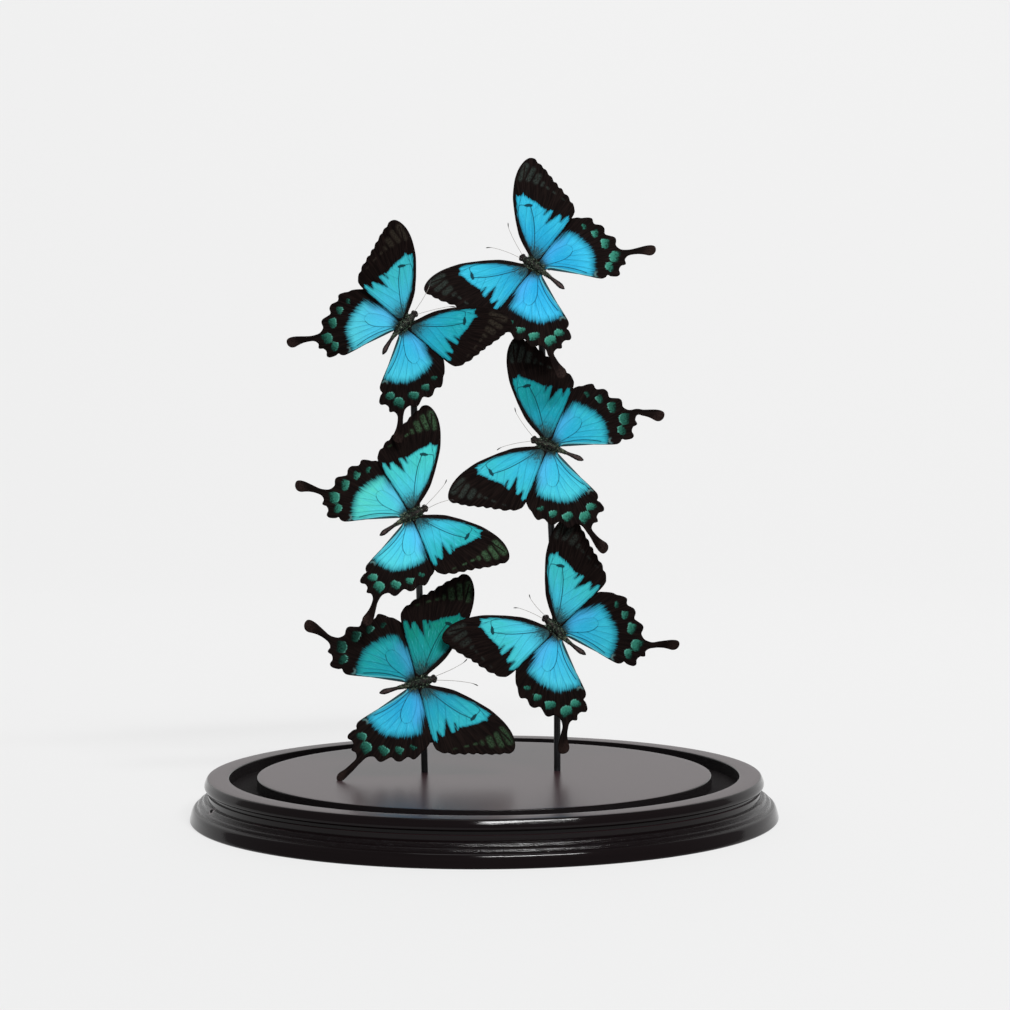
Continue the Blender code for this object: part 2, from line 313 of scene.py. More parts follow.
world = bpy.data.worlds.new("pale_room")
world.use_nodes = True
room = world.node_tree.nodes["Background"].inputs
room["Color"].default_value = (1.0, 1.0, 1.0, 1.0)
seen = add_node(world.node_tree, "LightPath").outputs["Is Camera Ray"]
join(room["Strength"], plus(times(seen, ROOM_SEEN - ROOM_LIGHT), ROOM_LIGHT))
scene.world = world
for name, (place, aim, width, height, power) in LAMPS.items():
    lamp_data = bpy.data.lights.new(name, "AREA")
    lamp_data.shape = "RECTANGLE"
    lamp_data.size, lamp_data.size_y = width, height
    lamp_data.energy = power
    lamp = bpy.data.objects.new(name, lamp_data)
    scene.collection.objects.link(lamp)
    lamp.location = place
    lamp.rotation_euler = (Vector(aim) - Vector(place)).to_track_quat("-Z", "Y").to_euler()
    print("lamp:", name, width, "by", height, "m")

# %% [markdown]
# # Shared effects
# A lathe tool and a brush leave fine rings. They run round the axis and hardly change along it, so the
# noise is laid over the radius and the height, with only a little of the way round, which makes the tool
# chatter.

# %% Group: turned rings
turned_rings, given, result = start_group(
    "turned_rings",
    {"Place": ("Vector", None), "Fineness": ("Float", 1.0), "Chatter": ("Float", 0.5)},
    ["Ring", "Brush"])
x, y, z = parts_of(given["Place"])
radius = calculate("SQRT", plus(times(x, x), times(y, y)))
round_about = times(calculate("ARCTAN2", y, x), given["Chatter"])
lathe_place = vector_of(times(radius, given["Fineness"]), times(z, given["Fineness"]), round_about)
join(result["Ring"], grain(lathe_place, 1.0, 3.0, 0.6))
join(result["Brush"], grain(given["Place"], 9.0, 2.0))

# %% [markdown]
# Dust lies about as small round specks. The surface is cut into cells, a share of the cells is chosen by
# chance, and each of these gets one speck at its centre.

# %% Group: specks
specks, given, result = start_group(
    "specks",
    {"Place": ("Vector", None), "Spacing": ("Float", 1.0), "Share": ("Float", 0.1), "Size": ("Float", 0.2)},
    ["Mask"])
cell = cells(given["Place"], calculate("DIVIDE", 1.0, given["Spacing"]))
near_centre = calculate("LESS_THAN", cell["Distance"], given["Size"])
chosen = calculate("LESS_THAN", parts_of(cell["Color"])[0], given["Share"])
join(result["Mask"], times(near_centre, chosen))

# %% [markdown]
# Scales lie in rows that fan out from the wing's root. Rays holds an angle about the root and a distance
# from it, so noise that is short across the angle and long along the distance makes such streaks.

# %% Group: wing streaks
wing_streaks, given, result = start_group(
    "wing_streaks",
    {"Rays": ("Vector", None), "Across": ("Float", 1.0), "Along": ("Float", 0.1)}, ["Streak"])
angle, distance, own = parts_of(given["Rays"])
fanned = vector_of(times(angle, given["Across"]), times(distance, given["Along"]), own)
join(result["Streak"], grain(fanned, 1.0, 2.0, 0.6))

# %% [markdown]
# Close up, a wing's surface is tiny overlapping scales. Fine noise stands for them, as a tone that wavers
# about 1 and as a small height.

# %% Group: fine scales
fine_scales, given, result = start_group(
    "fine_scales",
    {"Place": ("Vector", None), "Size": ("Float", 0.25), "Contrast": ("Float", 0.3)}, ["Tone", "Height"])
powder = grain(given["Place"], calculate("DIVIDE", 1.0, given["Size"]), 2.0, 0.7)
join(result["Tone"], plus(times(minus(powder, 0.5), given["Contrast"]), 1.0))
join(result["Height"], powder)

# %% [markdown]
# A patch of colour on a wing has no ruled edge. Depth is how far inside the patch a point lies, and the
# streaks push the edge in and out, so that it feathers along the wing's rays.

# %% Group: ragged edge
ragged_edge, given, result = start_group(
    "ragged_edge",
    {"Depth": ("Float", 0.0), "Streak": ("Float", 0.5), "Reach": ("Float", 1.0), "Softness": ("Float", 0.3)},
    ["Mask"])
pushed = plus(given["Depth"], times(minus(given["Streak"], 0.5), given["Reach"]))
join(result["Mask"], fade(pushed, times(given["Softness"], -1.0), given["Softness"]))

# %% [markdown]
# # Base
# The base is turned from one piece of wood and painted black. A lathe shape is one outline spun about its
# axis, so the outline is listed as radius and height, from the middle of the disc to the middle of the
# underside. It is finer than the CAD solid: its edges are rounded, the bead is fuller, and the band below
# the neck stands out in small steps.

# %% Draw the base's outline
DISC_RADIUS, GROOVE_RADIUS = 108.1, 121.2
TOP, GROOVE_FLOOR = 20.0, 14.0
ROUNDING = 0.5


def arc(start, end, rise, steps):
    """Points of an arc from start to end, without start. It stands out by rise, or in if negative."""
    start, end = Vector(start), Vector(end)
    chord = end - start
    outward = Vector((-chord.y, chord.x)).normalized()
    radius = (chord.length ** 2 / 4 + rise ** 2) / (2 * abs(rise))
    half_angle = math.asin(min(chord.length / 2 / radius, 1.0))
    side = math.copysign(1.0, rise)
    centre = (start + end) / 2 + outward * (rise - side * radius)
    points = []
    for i in range(1, steps + 1):
        angle = half_angle * (2 * i / steps - 1)
        offset = chord.normalized() * math.sin(angle) + outward * (side * math.cos(angle))
        points.append(tuple(centre + offset * radius))
    return points


# Each step is a corner, or an arc as its start, end, rise and number of points.
DISC = [(radius, TOP) for radius in (4.0, 20.0, 40.0, 60.0, 80.0, 95.0, 105.0, DISC_RADIUS - ROUNDING)]
GROOVE = [
    ((DISC_RADIUS - ROUNDING, TOP), (DISC_RADIUS, TOP - ROUNDING), 0.15, 4),
    (DISC_RADIUS, GROOVE_FLOOR + ROUNDING),
    ((DISC_RADIUS, GROOVE_FLOOR + ROUNDING), (DISC_RADIUS + ROUNDING, GROOVE_FLOOR), -0.12, 3),
    (GROOVE_RADIUS - ROUNDING, GROOVE_FLOOR),
    ((GROOVE_RADIUS - ROUNDING, GROOVE_FLOOR), (GROOVE_RADIUS, GROOVE_FLOOR + ROUNDING), -0.12, 3),
    (GROOVE_RADIUS, TOP - ROUNDING),
    ((GROOVE_RADIUS, TOP - ROUNDING), (GROOVE_RADIUS + ROUNDING, TOP), 0.15, 4),
]
RIM_AND_BEAD = [
    (125.0, TOP), (128.5, TOP), (131.0, TOP), ((131.0, TOP), (131.9, 19.35), 0.14, 6),
    ((131.9, 19.35), (132.6, 17.8), 0.008, 4), ((132.6, 17.8), (132.9, 16.4), 0.06, 5),
    ((132.9, 16.4), (131.5, 14.8), 0.42, 10),
]
NECK = [
    (131.1, 14.7), (130.6, 14.5), (130.5, 13.1), (131.35, 12.95),
    ((131.35, 12.95), (131.45, 10.7), -0.02, 4),
]
STEPPED_BAND = [
    (132.2, 10.4), (133.2, 10.25), ((133.5, 10.15), (134.1, 8.7), 0.015, 5),
    (134.5, 8.5), (135.6, 8.2), ((135.95, 8.05), (136.55, 6.65), 0.015, 5), (136.9, 6.5),
]
FOOT = [
    ((137.2, 6.45), (138.42, 5.5), 0.15, 5), ((138.42, 5.5), (138.88, 4.4), 0.008, 3),
    ((138.88, 4.4), (139.75, 1.0), 0.03, 4), (139.8, 0.5), (139.4, 0.0),
]
UNDERSIDE = [(120.0, 0.0), (60.0, 0.0), (4.0, 0.0)]

outline = []
for step in DISC + GROOVE + RIM_AND_BEAD + NECK + STEPPED_BAND + FOOT + UNDERSIDE:
    outline += arc(*step) if len(step) == 4 else [step]
print("outline of the base:", len(outline), "points")

# %% [markdown]
# Spinning the outline gives one ring of points for each of its points. Neighbouring rings are joined by
# faces, and the first and the last ring close on a centre point. Tubes, bodies and eyes are joined in the
# same way further on.

# %% Helpers for pieces


def ring_faces(rings, sides):
    """Faces between rings of points, and the fans that close them on two centre points listed last."""
    faces = []
    for ring in range(rings - 1):
        for i in range(sides):
            j = (i + 1) % sides
            low, high = ring * sides, (ring + 1) * sides
            faces.append((low + i, low + j, high + j, high + i))
    centre, last = rings * sides, (rings - 1) * sides
    for i in range(sides):
        j = (i + 1) % sides
        faces.append((centre, j, i))
        faces.append((centre + 1, last + i, last + j))
    return faces


def turned_over(faces):
    """The same faces, facing the other way."""
    return [face[:1] + face[:0:-1] for face in faces]


def make_mesh(name, points, faces, finishes, finish_of_face=None):
    """A smooth mesh of points in metres, its finishes, and the number of the finish on each face."""
    mesh = bpy.data.meshes.new(name)
    mesh.from_pydata(points.tolist(), [], faces)
    for finish in finishes:
        mesh.materials.append(finish)
    if finish_of_face is not None:
        mesh.polygons.foreach_set("material_index", finish_of_face)
    mesh.shade_smooth()
    return mesh


def add_piece(name, mesh, slot, *nodes):
    """Put a finished mesh in the scene as a piece of the object."""
    piece = bpy.data.objects.new(name, mesh)
    scene.collection.objects.link(piece)
    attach(piece, "root")
    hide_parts(*nodes)
    mesh.calc_loop_triangles()
    print(name + ":", len(mesh.loop_triangles), "triangles")


# %% [markdown]
# The tool tore the grain on the stepped band, so the rings there waver a little as they go round, each by
# itself. Everywhere else the turning is true.

# %% Spin the outline
BASE_SIDES = 256
TORN_BAND, TORN_RADIUS = (6.6, 10.4), 132.8
TORN_WAVER, TORN_SHIFT = 0.02, 0.01
TORN_SEED = 11

rng = np.random.default_rng(TORN_SEED)
turns = np.linspace(0.0, math.tau, BASE_SIDES, endpoint=False)
rings = []
for radius, height in outline:
    waver = 0.0
    if TORN_BAND[0] < height < TORN_BAND[1] and radius > TORN_RADIUS:
        rough = np.convolve(np.tile(rng.normal(size=BASE_SIDES), 3), np.ones(3) / 3.0, "same")
        waver = TORN_WAVER * rough[BASE_SIDES:2 * BASE_SIDES] + rng.uniform(-TORN_SHIFT, TORN_SHIFT)
    reach = radius + waver
    rings.append(np.stack([reach * np.cos(turns), reach * np.sin(turns), np.full(BASE_SIDES, height)], 1))
base_points = np.concatenate(rings + [[(0.0, 0.0, TOP)], [(0.0, 0.0, 0.0)]]) * MM
base_faces = turned_over(ring_faces(len(rings), BASE_SIDES))
print("base:", len(base_points), "points,", len(base_faces), "faces")

# %% [markdown]
# The paint is black with a satin sheen, and a few things break it. Fine rings from the lathe show through,
# the stepped band is rougher and shows wear, and a few pale specks of dust lie on what faces up. A faint
# warm cast is painted on what faces up as well, which tints its sheen. One small hole in the band at the
# left is a black spot of painted shade inside a paler ring. Each is first found as a mask.

# %% Masks for the base's paint
PINHOLE, PINHOLE_SHAPE = np.array([-125.4, -46.9, 9.8]), np.array([0.5, 0.35, 1.0])

paint, tree, surface = start_material("black_satin_paint", IOR=1.25)
place = place_in_mm(tree)
upward = facing(tree)[2]
height = parts_of(place)[2]
fine = use_group(turned_rings, Place=place, Fineness=2.2, Chatter=2.0)
coarse = use_group(turned_rings, Place=place, Fineness=5.0, Chatter=40.0)["Ring"]
grit = grain(place, 1.6, 3.0, 0.7)
pebble = grain(stretch(place, (1.0, 1.0, 1.2)), 2.1, 1.0)
band = times(fade(height, 6.3, 6.9), fade(height, 11.0, 10.2))
wear_and_front_light = fade(times(band, coarse), 0.5, 0.75)
dust = use_group(specks, Place=place, Spacing=9.0, Share=0.35, Size=0.055)["Mask"]
dust = times(dust, fade(upward, 0.8, 0.95))
# Painted sheen: a warm cast laid on what faces up, which tints the sheen of the disc and rim.
warm_sheen_cast = times(fade(upward, 0.97, 0.999), fade(grit, 0.2, 0.8, 0.75, 1.0))
from_pinhole = add_node(tree, "VectorMath", operation="DISTANCE")
fill(from_pinhole, stretch(place, PINHOLE_SHAPE), PINHOLE * PINHOLE_SHAPE)
hole_edge = fade(from_pinhole.outputs["Value"], 1.7, 1.2, 0.0, 0.7)
# Painted shade: the black spot that stands for the dark inside of the pinhole, which the mesh doesn't have.
hole = fade(from_pinhole.outputs["Value"], 0.95, 0.70)
print("masks of the paint:", len(tree.nodes), "nodes")

# %% [markdown]
# The masks then mix colours and add roughness. What faces up is rougher than the sides, so that the disc
# shows a soft reflection and the mouldings a sharp one. The relief is highest on the torn band.

# %% Paint of the base
PAINT_DEEP, PAINT_RAISED = (0.0022, 0.0012, 0.0014), (0.0052, 0.0031, 0.0036)
# The second colour on the next line is painted sheen: the warm cast for what faces up.
PAINT_WORN, PAINTED_SHEEN_WARMTH = (0.010, 0.009, 0.010), (0.030, 0.013, 0.016)
DUST_COLOUR = (0.20, 0.19, 0.18)
# The hole's own colour is painted shade, a black spot, inside a paler ring.
HOLE_EDGE_COLOUR, HOLE_COLOUR = (0.130, 0.105, 0.110), (0.001, 0.001, 0.001)

black = layered(tint(fine["Ring"], PAINT_DEEP, PAINT_RAISED), (wear_and_front_light, PAINT_WORN), (warm_sheen_cast, PAINTED_SHEEN_WARMTH),
                (dust, DUST_COLOUR), (hole_edge, HOLE_EDGE_COLOUR), (hole, HOLE_COLOUR))
satin = fade(upward, 0.80, 0.97, 0.06, 0.28)
satin = plus(satin, fade(fine["Brush"], 0.3, 0.7, 0.0, 0.04))
satin = plus(satin, times(hole, 0.8))
satin = plus(satin, times(dust, 0.3))
relief = plus(times(fine["Ring"], 0.03), times(grit, 0.02))
torn = times(plus(times(coarse, 0.03), times(pebble, 0.17)), band)
finish_with(surface, black, satin, bump(plus(relief, torn), 0.9, 0.0006))
print("paint:", len(tree.nodes), "nodes")

# %% [markdown]
# The groove was left rough and takes a dull paint of its own, which swallows the light. Its faces are found
# by where they lie, and the rest of the base takes the satin paint.

# %% Paint the groove and add the base
LIP, SLACK = 0.6, 0.02
SHARP_ANGLE = 35.0
DULL_DARK, DULL_PALE = (0.0030, 0.0022, 0.0025), (0.0085, 0.0066, 0.0072)

dull, tree, surface = start_material("groove_dull_paint", Specular_IOR_Level=0.06)
place = place_in_mm(tree)
raw = use_group(turned_rings, Place=place, Fineness=3.0, Chatter=30.0)["Ring"]
fuzzy = grain(place, 1.3, 3.0, 0.7)
finish_with(surface, tint(fuzzy, DULL_DARK, DULL_PALE), fade(raw, 0.3, 0.7, 0.65, 0.85),
            bump(plus(fuzzy, raw), 0.7, 0.0004))

base_mesh = make_mesh("turned_base", base_points, base_faces, [paint, dull])
base_mesh.set_sharp_from_angle(angle=math.radians(SHARP_ANGLE))
in_groove = []
for face in base_mesh.polygons:
    away, height = math.hypot(face.center.x, face.center.y) / MM, face.center.z / MM
    in_groove.append(int(DISC_RADIUS - SLACK < away < GROOVE_RADIUS + SLACK and height < TOP - LIP))
base_mesh.polygons.foreach_set("material_index", in_groove)
print("faces of the groove:", sum(in_groove))
add_piece("turned_base", base_mesh, "painted_wood", "base")

# %% [markdown]
# # Rods
# Each rod is a thin drawn steel wire, blackened. A tube along the CAD route is enough, with many sides and
# a rounded top end. The same tube serves for antennae and legs.

# %% Helper for tubes


def tube(points, radii, sides):
    """Points and faces of a closed tube along a line of points, with a radius at each."""
    points = np.array(points, float)
    along = np.gradient(points, axis=0)
    along /= np.linalg.norm(along, axis=1)[:, None]
    steep = abs(along[:, 2]).mean() >= 0.8
    across = np.cross(along, (0.0, 1.0, 0.0) if steep else (0.0, 0.0, 1.0))
    across /= np.linalg.norm(across, axis=1)[:, None]
    upright = np.cross(across, along)
    turns = np.linspace(0.0, math.tau, sides, endpoint=False)
    spokes = across[:, None] * np.cos(turns)[None, :, None] + upright[:, None] * np.sin(turns)[None, :, None]
    rings = points[:, None] + spokes * np.array(radii, float)[:, None, None]
    return np.concatenate([rings.reshape(-1, 3), points[:1], points[-1:]]), ring_faces(len(points), sides)


# %% [markdown]
# Fine lines run along a wire from drawing, so the noise of its finish is drawn out along the height.
# Blotches of the blackening lie over them.

# %% Make the rods
ROD_RADIUS, ROD_SIDES = 1.6, 24
ROD_DEPTHS = {"rod_left": 3.0, "rod_right": 6.0}
ROD_ROUTES = {
    "rod_left": [(-28.3, 11.4), (-28.6, 20.0), (-29.8, 70.0), (-31.8, 150.0), (-33.9, 235.0)],
    "rod_right": [(34.88, 11.4), (34.9, 20.0), (35.0, 66.0), (34.8, 82.0), (33.9, 102.0), (31.7, 150.0),
                  (26.2, 261.0)],
}
ROUNDED_END = [(0.9, 1.0), (0.3, 0.85), (0.0, 0.5)]  # how far below the top, and the share of the radius
STEEL_DARK, STEEL_PALE = (0.0045, 0.0045, 0.0055), (0.012, 0.012, 0.014)

steel, tree, surface = start_material("blackened_steel", Metallic=0.0, IOR=1.4)
place = place_in_mm(tree)
drawn = grain(stretch(place, (3.0, 3.0, 0.05)), 1.5, 2.0)
blotch = grain(place, 0.35, 3.0)
finish_with(surface, tint(blotch, STEEL_DARK, STEEL_PALE), fade(drawn, 0.3, 0.7, 0.28, 0.42),
            bump(drawn, 0.3, 0.00005))
for rod_name, route in ROD_ROUTES.items():
    line = [(x, ROD_DEPTHS[rod_name], z) for x, z in route]
    x, y, top = line.pop()
    line += [(x, y, top - below) for below, share in ROUNDED_END]
    radii = [ROD_RADIUS] * (len(route) - 1) + [ROD_RADIUS * share for below, share in ROUNDED_END]
    corners, faces = tube(line, radii, ROD_SIDES)
    rod_mesh = make_mesh(rod_name + "_wire", corners * MM, faces, [steel])
    add_piece(rod_name + "_wire", rod_mesh, "rod_steel", rod_name)

# %% [markdown]
# # The butterfly's plan
# All six are one kind, so one butterfly is drawn flat, in millimetres, with +X to its right and +Y to its
# head. Its outlines and markings are listed points with a smooth curve through them. Each specimen is
# then the same plan at its own size, spread and tilt, as in the CAD model.

# %% Outlines of the wings
FOREWING = [
    (0.6, 4.2), (2.4, 5.2), (5.0, 10.5), (7.5, 14.8), (10.0, 17.8), (12.5, 20.6), (15.0, 23.1),
    (18.0, 26.0), (21.0, 28.6), (25.0, 31.2), (28.5, 33.1), (32.0, 34.4), (35.0, 35.0), (38.0, 35.0),
    (40.3, 34.4), (41.7, 33.3), (42.4, 31.4), (42.05, 30.1), (41.55, 29.0), (41.75, 27.7), (41.65, 26.7),
    (40.95, 25.2), (41.05, 24.0), (40.75, 22.9), (39.8, 21.2), (39.85, 19.7), (39.4, 18.6), (38.45, 17.2),
    (38.75, 16.0), (38.4, 14.9), (37.5, 13.6), (37.85, 12.3), (37.6, 11.3), (36.6, 9.6), (36.75, 7.9),
    (36.2, 6.4), (35.05, 4.9), (35.0, 3.5), (34.3, 2.2), (32.9, 0.7), (32.0, 0.0), (30.0, -0.5),
    (27.0, -0.7), (20.0, -0.5), (10.0, -0.4), (4.5, -0.6), (2.0, -0.6), (0.6, -0.4),
]
HINDWING = [
    (0.6, 0.9), (3.0, 1.5), (6.0, 2.0), (14.0, 2.4), (22.0, 2.2), (26.0, 1.2), (28.4, -0.6), (29.8, -1.9),
    (31.2, -3.5), (31.9, -5.1), (33.2, -6.7), (34.1, -8.1), (34.5, -9.2), (34.25, -10.1), (33.2, -11.1),
    (32.9, -12.2), (33.5, -13.6), (34.1, -15.1), (33.9, -16.5), (33.2, -17.6), (31.75, -18.5),
    (31.3, -19.4), (31.75, -21.1), (32.4, -23.3), (32.1, -24.7), (31.0, -25.6), (29.6, -26.3),
    (29.0, -27.6), (28.9, -29.4), (29.6, -31.1), (31.2, -33.3), (33.2, -35.1), (35.5, -37.0), (37.3, -38.6),
    (38.7, -40.4), (39.1, -41.9), (38.4, -43.1), (36.9, -43.9), (35.1, -43.8), (33.7, -42.6), (32.8, -40.4),
    (31.75, -38.3), (30.1, -36.1), (28.4, -34.5), (26.9, -34.0), (25.5, -34.2), (24.8, -35.1),
    (24.0, -35.7), (23.0, -35.1), (22.3, -34.4), (20.9, -34.3), (19.8, -34.7), (19.1, -35.6), (18.2, -36.2),
    (16.9, -35.8), (15.9, -34.5), (15.1, -32.9), (14.9, -31.5), (13.5, -31.3), (12.1, -30.4), (11.2, -28.8),
    (10.0, -25.8), (8.4, -21.5), (7.6, -19.0), (6.4, -15.4), (5.0, -11.5), (3.7, -8.3), (2.6, -6.3),
    (0.6, -4.6),
]
print("outline points:", len(FOREWING), "and", len(HINDWING))

# %% [markdown]
# The forewing's blue ends in sharp black teeth. Each vein is a line after its half width. A weak vein gets
# a half width below nothing, so that it only darkens the blue a little. The dust in the border lies in soft
# patches, each with a width, a strength and a line.

# %% Markings of the forewing
FORE_BLUE = [
    (3.0, 2.6), (4.2, 5.0), (6.0, 8.3), (8.2, 12.0), (10.0, 15.0), (12.4, 18.0), (15.0, 21.2), (18.0, 24.1),
    (20.5, 26.2), (22.8, 27.9), (22.9, 27.0), (24.0, 26.0), (25.8, 25.6), (25.1, 24.6), (25.1, 23.0),
    (25.4, 20.5), (25.5, 18.0), (25.3, 15.0), (25.1, 12.7), (25.9, 11.7), (22.7, 11.25), (26.3, 10.4),
    (26.7, 9.4), (26.5, 8.7), (19.9, 7.85), (26.7, 5.5), (27.1, 4.9), (27.1, 4.1), (24.3, 2.6), (28.2, 2.0),
    (29.0, 1.1), (27.4, 0.0), (24.0, -0.3), (16.0, -0.25), (8.0, -0.05), (4.5, 0.2), (3.2, 1.2),
]
FORE_VEINS = [
    (0.10, [(3.0, 3.2), (5.6, 4.5), (9.0, 6.7), (12.4, 9.2), (15.6, 11.8), (18.4, 14.4), (20.6, 16.9),
            (22.0, 18.6), (22.9, 19.2)]),
    (-0.05, [(6.0, 5.8), (10.4, 9.0), (14.0, 11.8), (18.1, 15.2), (20.6, 17.6)]),
    (-0.07, [(9.5, 12.4), (14.0, 15.8), (20.6, 19.9)]),
    (0.06, [(3.2, 6.2), (5.2, 9.4), (8.0, 13.4), (11.6, 17.4), (15.0, 20.8), (17.6, 22.8), (19.4, 23.6),
            (20.4, 22.8), (21.2, 21.4)]),
    (-0.02, [(19.3, 23.7), (21.8, 24.9), (24.0, 26.2), (30.0, 29.4), (37.0, 33.2)]),
    (0.45, [(21.2, 21.2), (21.9, 20.4), (22.4, 19.7), (22.9, 18.8)]), (0.68, [(21.8, 20.5), (22.5, 19.6)]),
    (-0.06, [(18.4, 14.4), (24.0, 12.8), (30.0, 11.9), (37.4, 11.8)]),
    (-0.05, [(12.4, 9.2), (19.0, 8.1), (26.0, 6.8), (36.0, 6.6)]),
    (-0.06, [(8.5, 6.3), (14.0, 5.6), (24.0, 3.4), (34.6, 2.6)]),
    (-0.04, [(3.0, 2.6), (8.0, 2.0), (16.0, 1.3), (27.0, 0.9)]),
    (-0.07, [(20.8, 17.0), (26.0, 15.9), (32.0, 15.4), (38.4, 15.6)]),
    (-0.07, [(22.9, 18.9), (28.0, 18.9), (34.0, 18.9), (39.3, 19.0)]),
    (-0.07, [(22.4, 20.2), (28.0, 21.6), (34.0, 22.3), (40.6, 23.2)]),
    (-0.06, [(20.6, 24.2), (24.0, 25.2), (28.0, 26.0), (34.0, 26.4), (41.4, 27.2)]),
    (-0.04, [(24.0, 26.2), (31.0, 29.0), (36.0, 30.0), (41.9, 31.0)]),
]
FORE_DUST = [
    (1.5, 1.0, [(30.8, 30.8), (34.0, 32.0), (37.2, 32.8)]),
    (1.5, 1.0, [(32.6, 28.0), (34.6, 28.3), (37.4, 28.9)]),
    (1.5, 0.95, [(33.6, 24.2), (34.8, 24.3), (36.4, 24.7)]), (0.8, 0.8, [(33.8, 20.8), (35.0, 20.9)]),
    (0.55, 0.9, [(34.2, 17.2), (34.3, 18.8)]), (0.45, 1.0, [(34.2, 12.9), (34.3, 14.3)]),
    (0.4, 0.5, [(34.0, 7.6), (34.0, 9.0)]),
]
print("forewing:", len(FORE_VEINS), "veins,", len(FORE_DUST), "patches of dust")

# %% [markdown]
# The hindwing's blue has a feathered edge, and five green lunules lie between it and the rim, with a small
# eyespot at the inner corner. A lunule is bright on the side to the body and fades to the rim, so each has
# its strength, the direction of that fade and its length before its outline.

# %% Markings of the hindwing
HIND_BLUE = [
    (2.4, -1.5), (5.0, 0.4), (9.0, 0.9), (13.0, 0.7), (15.5, -0.5), (17.5, -1.8), (20.5, -2.8),
    (22.6, -3.6), (23.5, -5.0), (23.6, -8.5), (23.3, -11.5), (22.8, -14.2), (21.9, -17.0), (20.7, -19.6),
    (18.6, -21.6), (16.6, -23.2), (14.2, -24.6), (12.2, -25.4), (10.2, -25.3), (7.4, -20.6), (5.6, -15.6),
    (3.7, -10.3), (2.2, -7.0), (1.2, -5.2),
]
HIND_VEINS = [
    (0.05, [(2.6, -3.2), (4.6, -5.4), (7.2, -7.6), (10.2, -9.8), (13.2, -11.0), (15.6, -11.0)]),
    (-0.06, [(15.6, -11.0), (17.0, -10.2), (17.4, -8.4), (16.6, -6.6), (12.0, -3.8), (6.0, -1.9),
             (2.6, -2.0)]),
    (-0.03, [(6.4, -7.0), (9.4, -13.4), (11.6, -19.0), (13.6, -24.6)]),
    (-0.04, [(10.2, -9.8), (13.4, -15.6), (15.4, -20.0), (17.2, -24.0)]),
    (-0.05, [(13.2, -11.0), (16.4, -15.2), (19.0, -19.0), (21.0, -22.0)]),
    (-0.06, [(15.6, -11.0), (19.6, -14.2), (23.0, -17.0)]),
    (-0.07, [(17.2, -9.0), (20.6, -10.0), (24.0, -11.0)]),
    (-0.08, [(16.6, -6.6), (20.6, -6.4), (24.4, -6.4)]),
    (-0.05, [(4.0, -0.9), (10.0, -1.4), (17.0, -2.0)]),
    (0.10, [(3.0, -4.6), (4.6, -7.4), (6.9, -11.4), (8.6, -15.4), (9.7, -19.0), (10.5, -22.6)]),
    (-0.02, [(26.6, -26.2), (28.8, -31.0), (31.0, -34.4), (34.0, -38.2), (36.4, -41.2)]),
]
LUNULES = [
    (0.55, (0.6, -0.8), 2.6, [(27.6, -9.2), (28.4, -8.2), (29.4, -7.2), (30.2, -8.3), (30.0, -9.8),
                              (28.8, -10.2)]),
    (1.0, (0.5, -0.86), 4.0, [(27.1, -15.6), (28.0, -13.9), (28.9, -12.7), (29.9, -13.6), (31.0, -14.6),
                              (30.4, -16.2), (29.2, -17.0), (27.6, -16.4)]),
    (1.0, (0.4, -0.92), 4.6, [(25.0, -21.9), (26.3, -20.4), (28.0, -19.2), (29.2, -20.3), (29.9, -21.6),
                              (29.4, -23.2), (27.8, -24.2), (25.6, -23.8)]),
    (1.0, (0.35, -0.94), 5.4, [(21.6, -29.4), (22.2, -27.8), (23.3, -26.9), (24.8, -26.6), (26.2, -27.2),
                               (26.9, -28.6), (27.8, -31.0), (26.4, -31.6), (24.8, -31.0), (24.0, -32.3),
                               (22.6, -31.4)]),
    (1.0, (0.25, -0.97), 4.8, [(17.0, -31.2), (17.2, -29.4), (17.9, -28.2), (19.0, -27.7), (20.3, -28.3),
                               (20.9, -29.2), (19.9, -31.2), (18.8, -32.8), (17.7, -32.4)]),
]
EYESPOT_CENTRE, EYESPOT_RADIUS = (12.7, -27.3), 1.25
INNER_MARGIN = [
    (2.6, -6.3), (3.7, -8.3), (5.0, -11.5), (6.4, -15.4), (7.6, -19.0), (8.4, -21.5), (10.0, -25.8),
]
print("hindwing:", len(HIND_VEINS), "veins,", len(LUNULES), "lunules")

# %% [markdown]
# A smooth line through given points is a Catmull-Rom curve. The teeth in the forewing's blue are
# drawn with straight lines, because a curve would blunt them.

# %% Helpers for lines


def smooth_line(points, spacing, closed=False):
    """A curve through the points, as new points about one spacing apart."""
    points = np.array(points, float)
    count = len(points)
    made = []
    for i in range(count if closed else count - 1):
        if closed:
            p0, p1, p2, p3 = (points[(i + k) % count] for k in (-1, 0, 1, 2))
        else:
            p0, p1, p2, p3 = (points[min(max(i + k, 0), count - 1)] for k in (-1, 0, 1, 2))
        steps = max(1, round(np.linalg.norm(p2 - p1) / spacing))
        for t in np.arange(steps) / steps:
            made.append(0.5 * (2 * p1 + (p2 - p0) * t + (2 * p0 - 5 * p1 + 4 * p2 - p3) * t ** 2
                               + (3 * p1 - p0 - 3 * p2 + p3) * t ** 3))
    if not closed:
        made.append(points[-1])
    return np.array(made)


def straight_loop(points, spacing):
    """A closed line with straight sides and sharp corners, as points about one spacing apart."""
    points = np.array(points, float)
    made = []
    for a, b in zip(points, np.roll(points, -1, 0)):
        steps = max(1, round(np.linalg.norm(b - a) / spacing))
        made += [a + (b - a) * t for t in np.arange(steps) / steps]
    return np.array(made)


# %% [markdown]
# The distance to a line is worked out at every point of the mesh and stored there under a name, and the
# finish turns it into a crisp edge. That keeps markings sharp without any image. Whether a point is inside
# a loop is found by counting how often a level line from it crosses the loop.

# %% Helpers for distances
FAR = 1e9
TINY = 1e-12


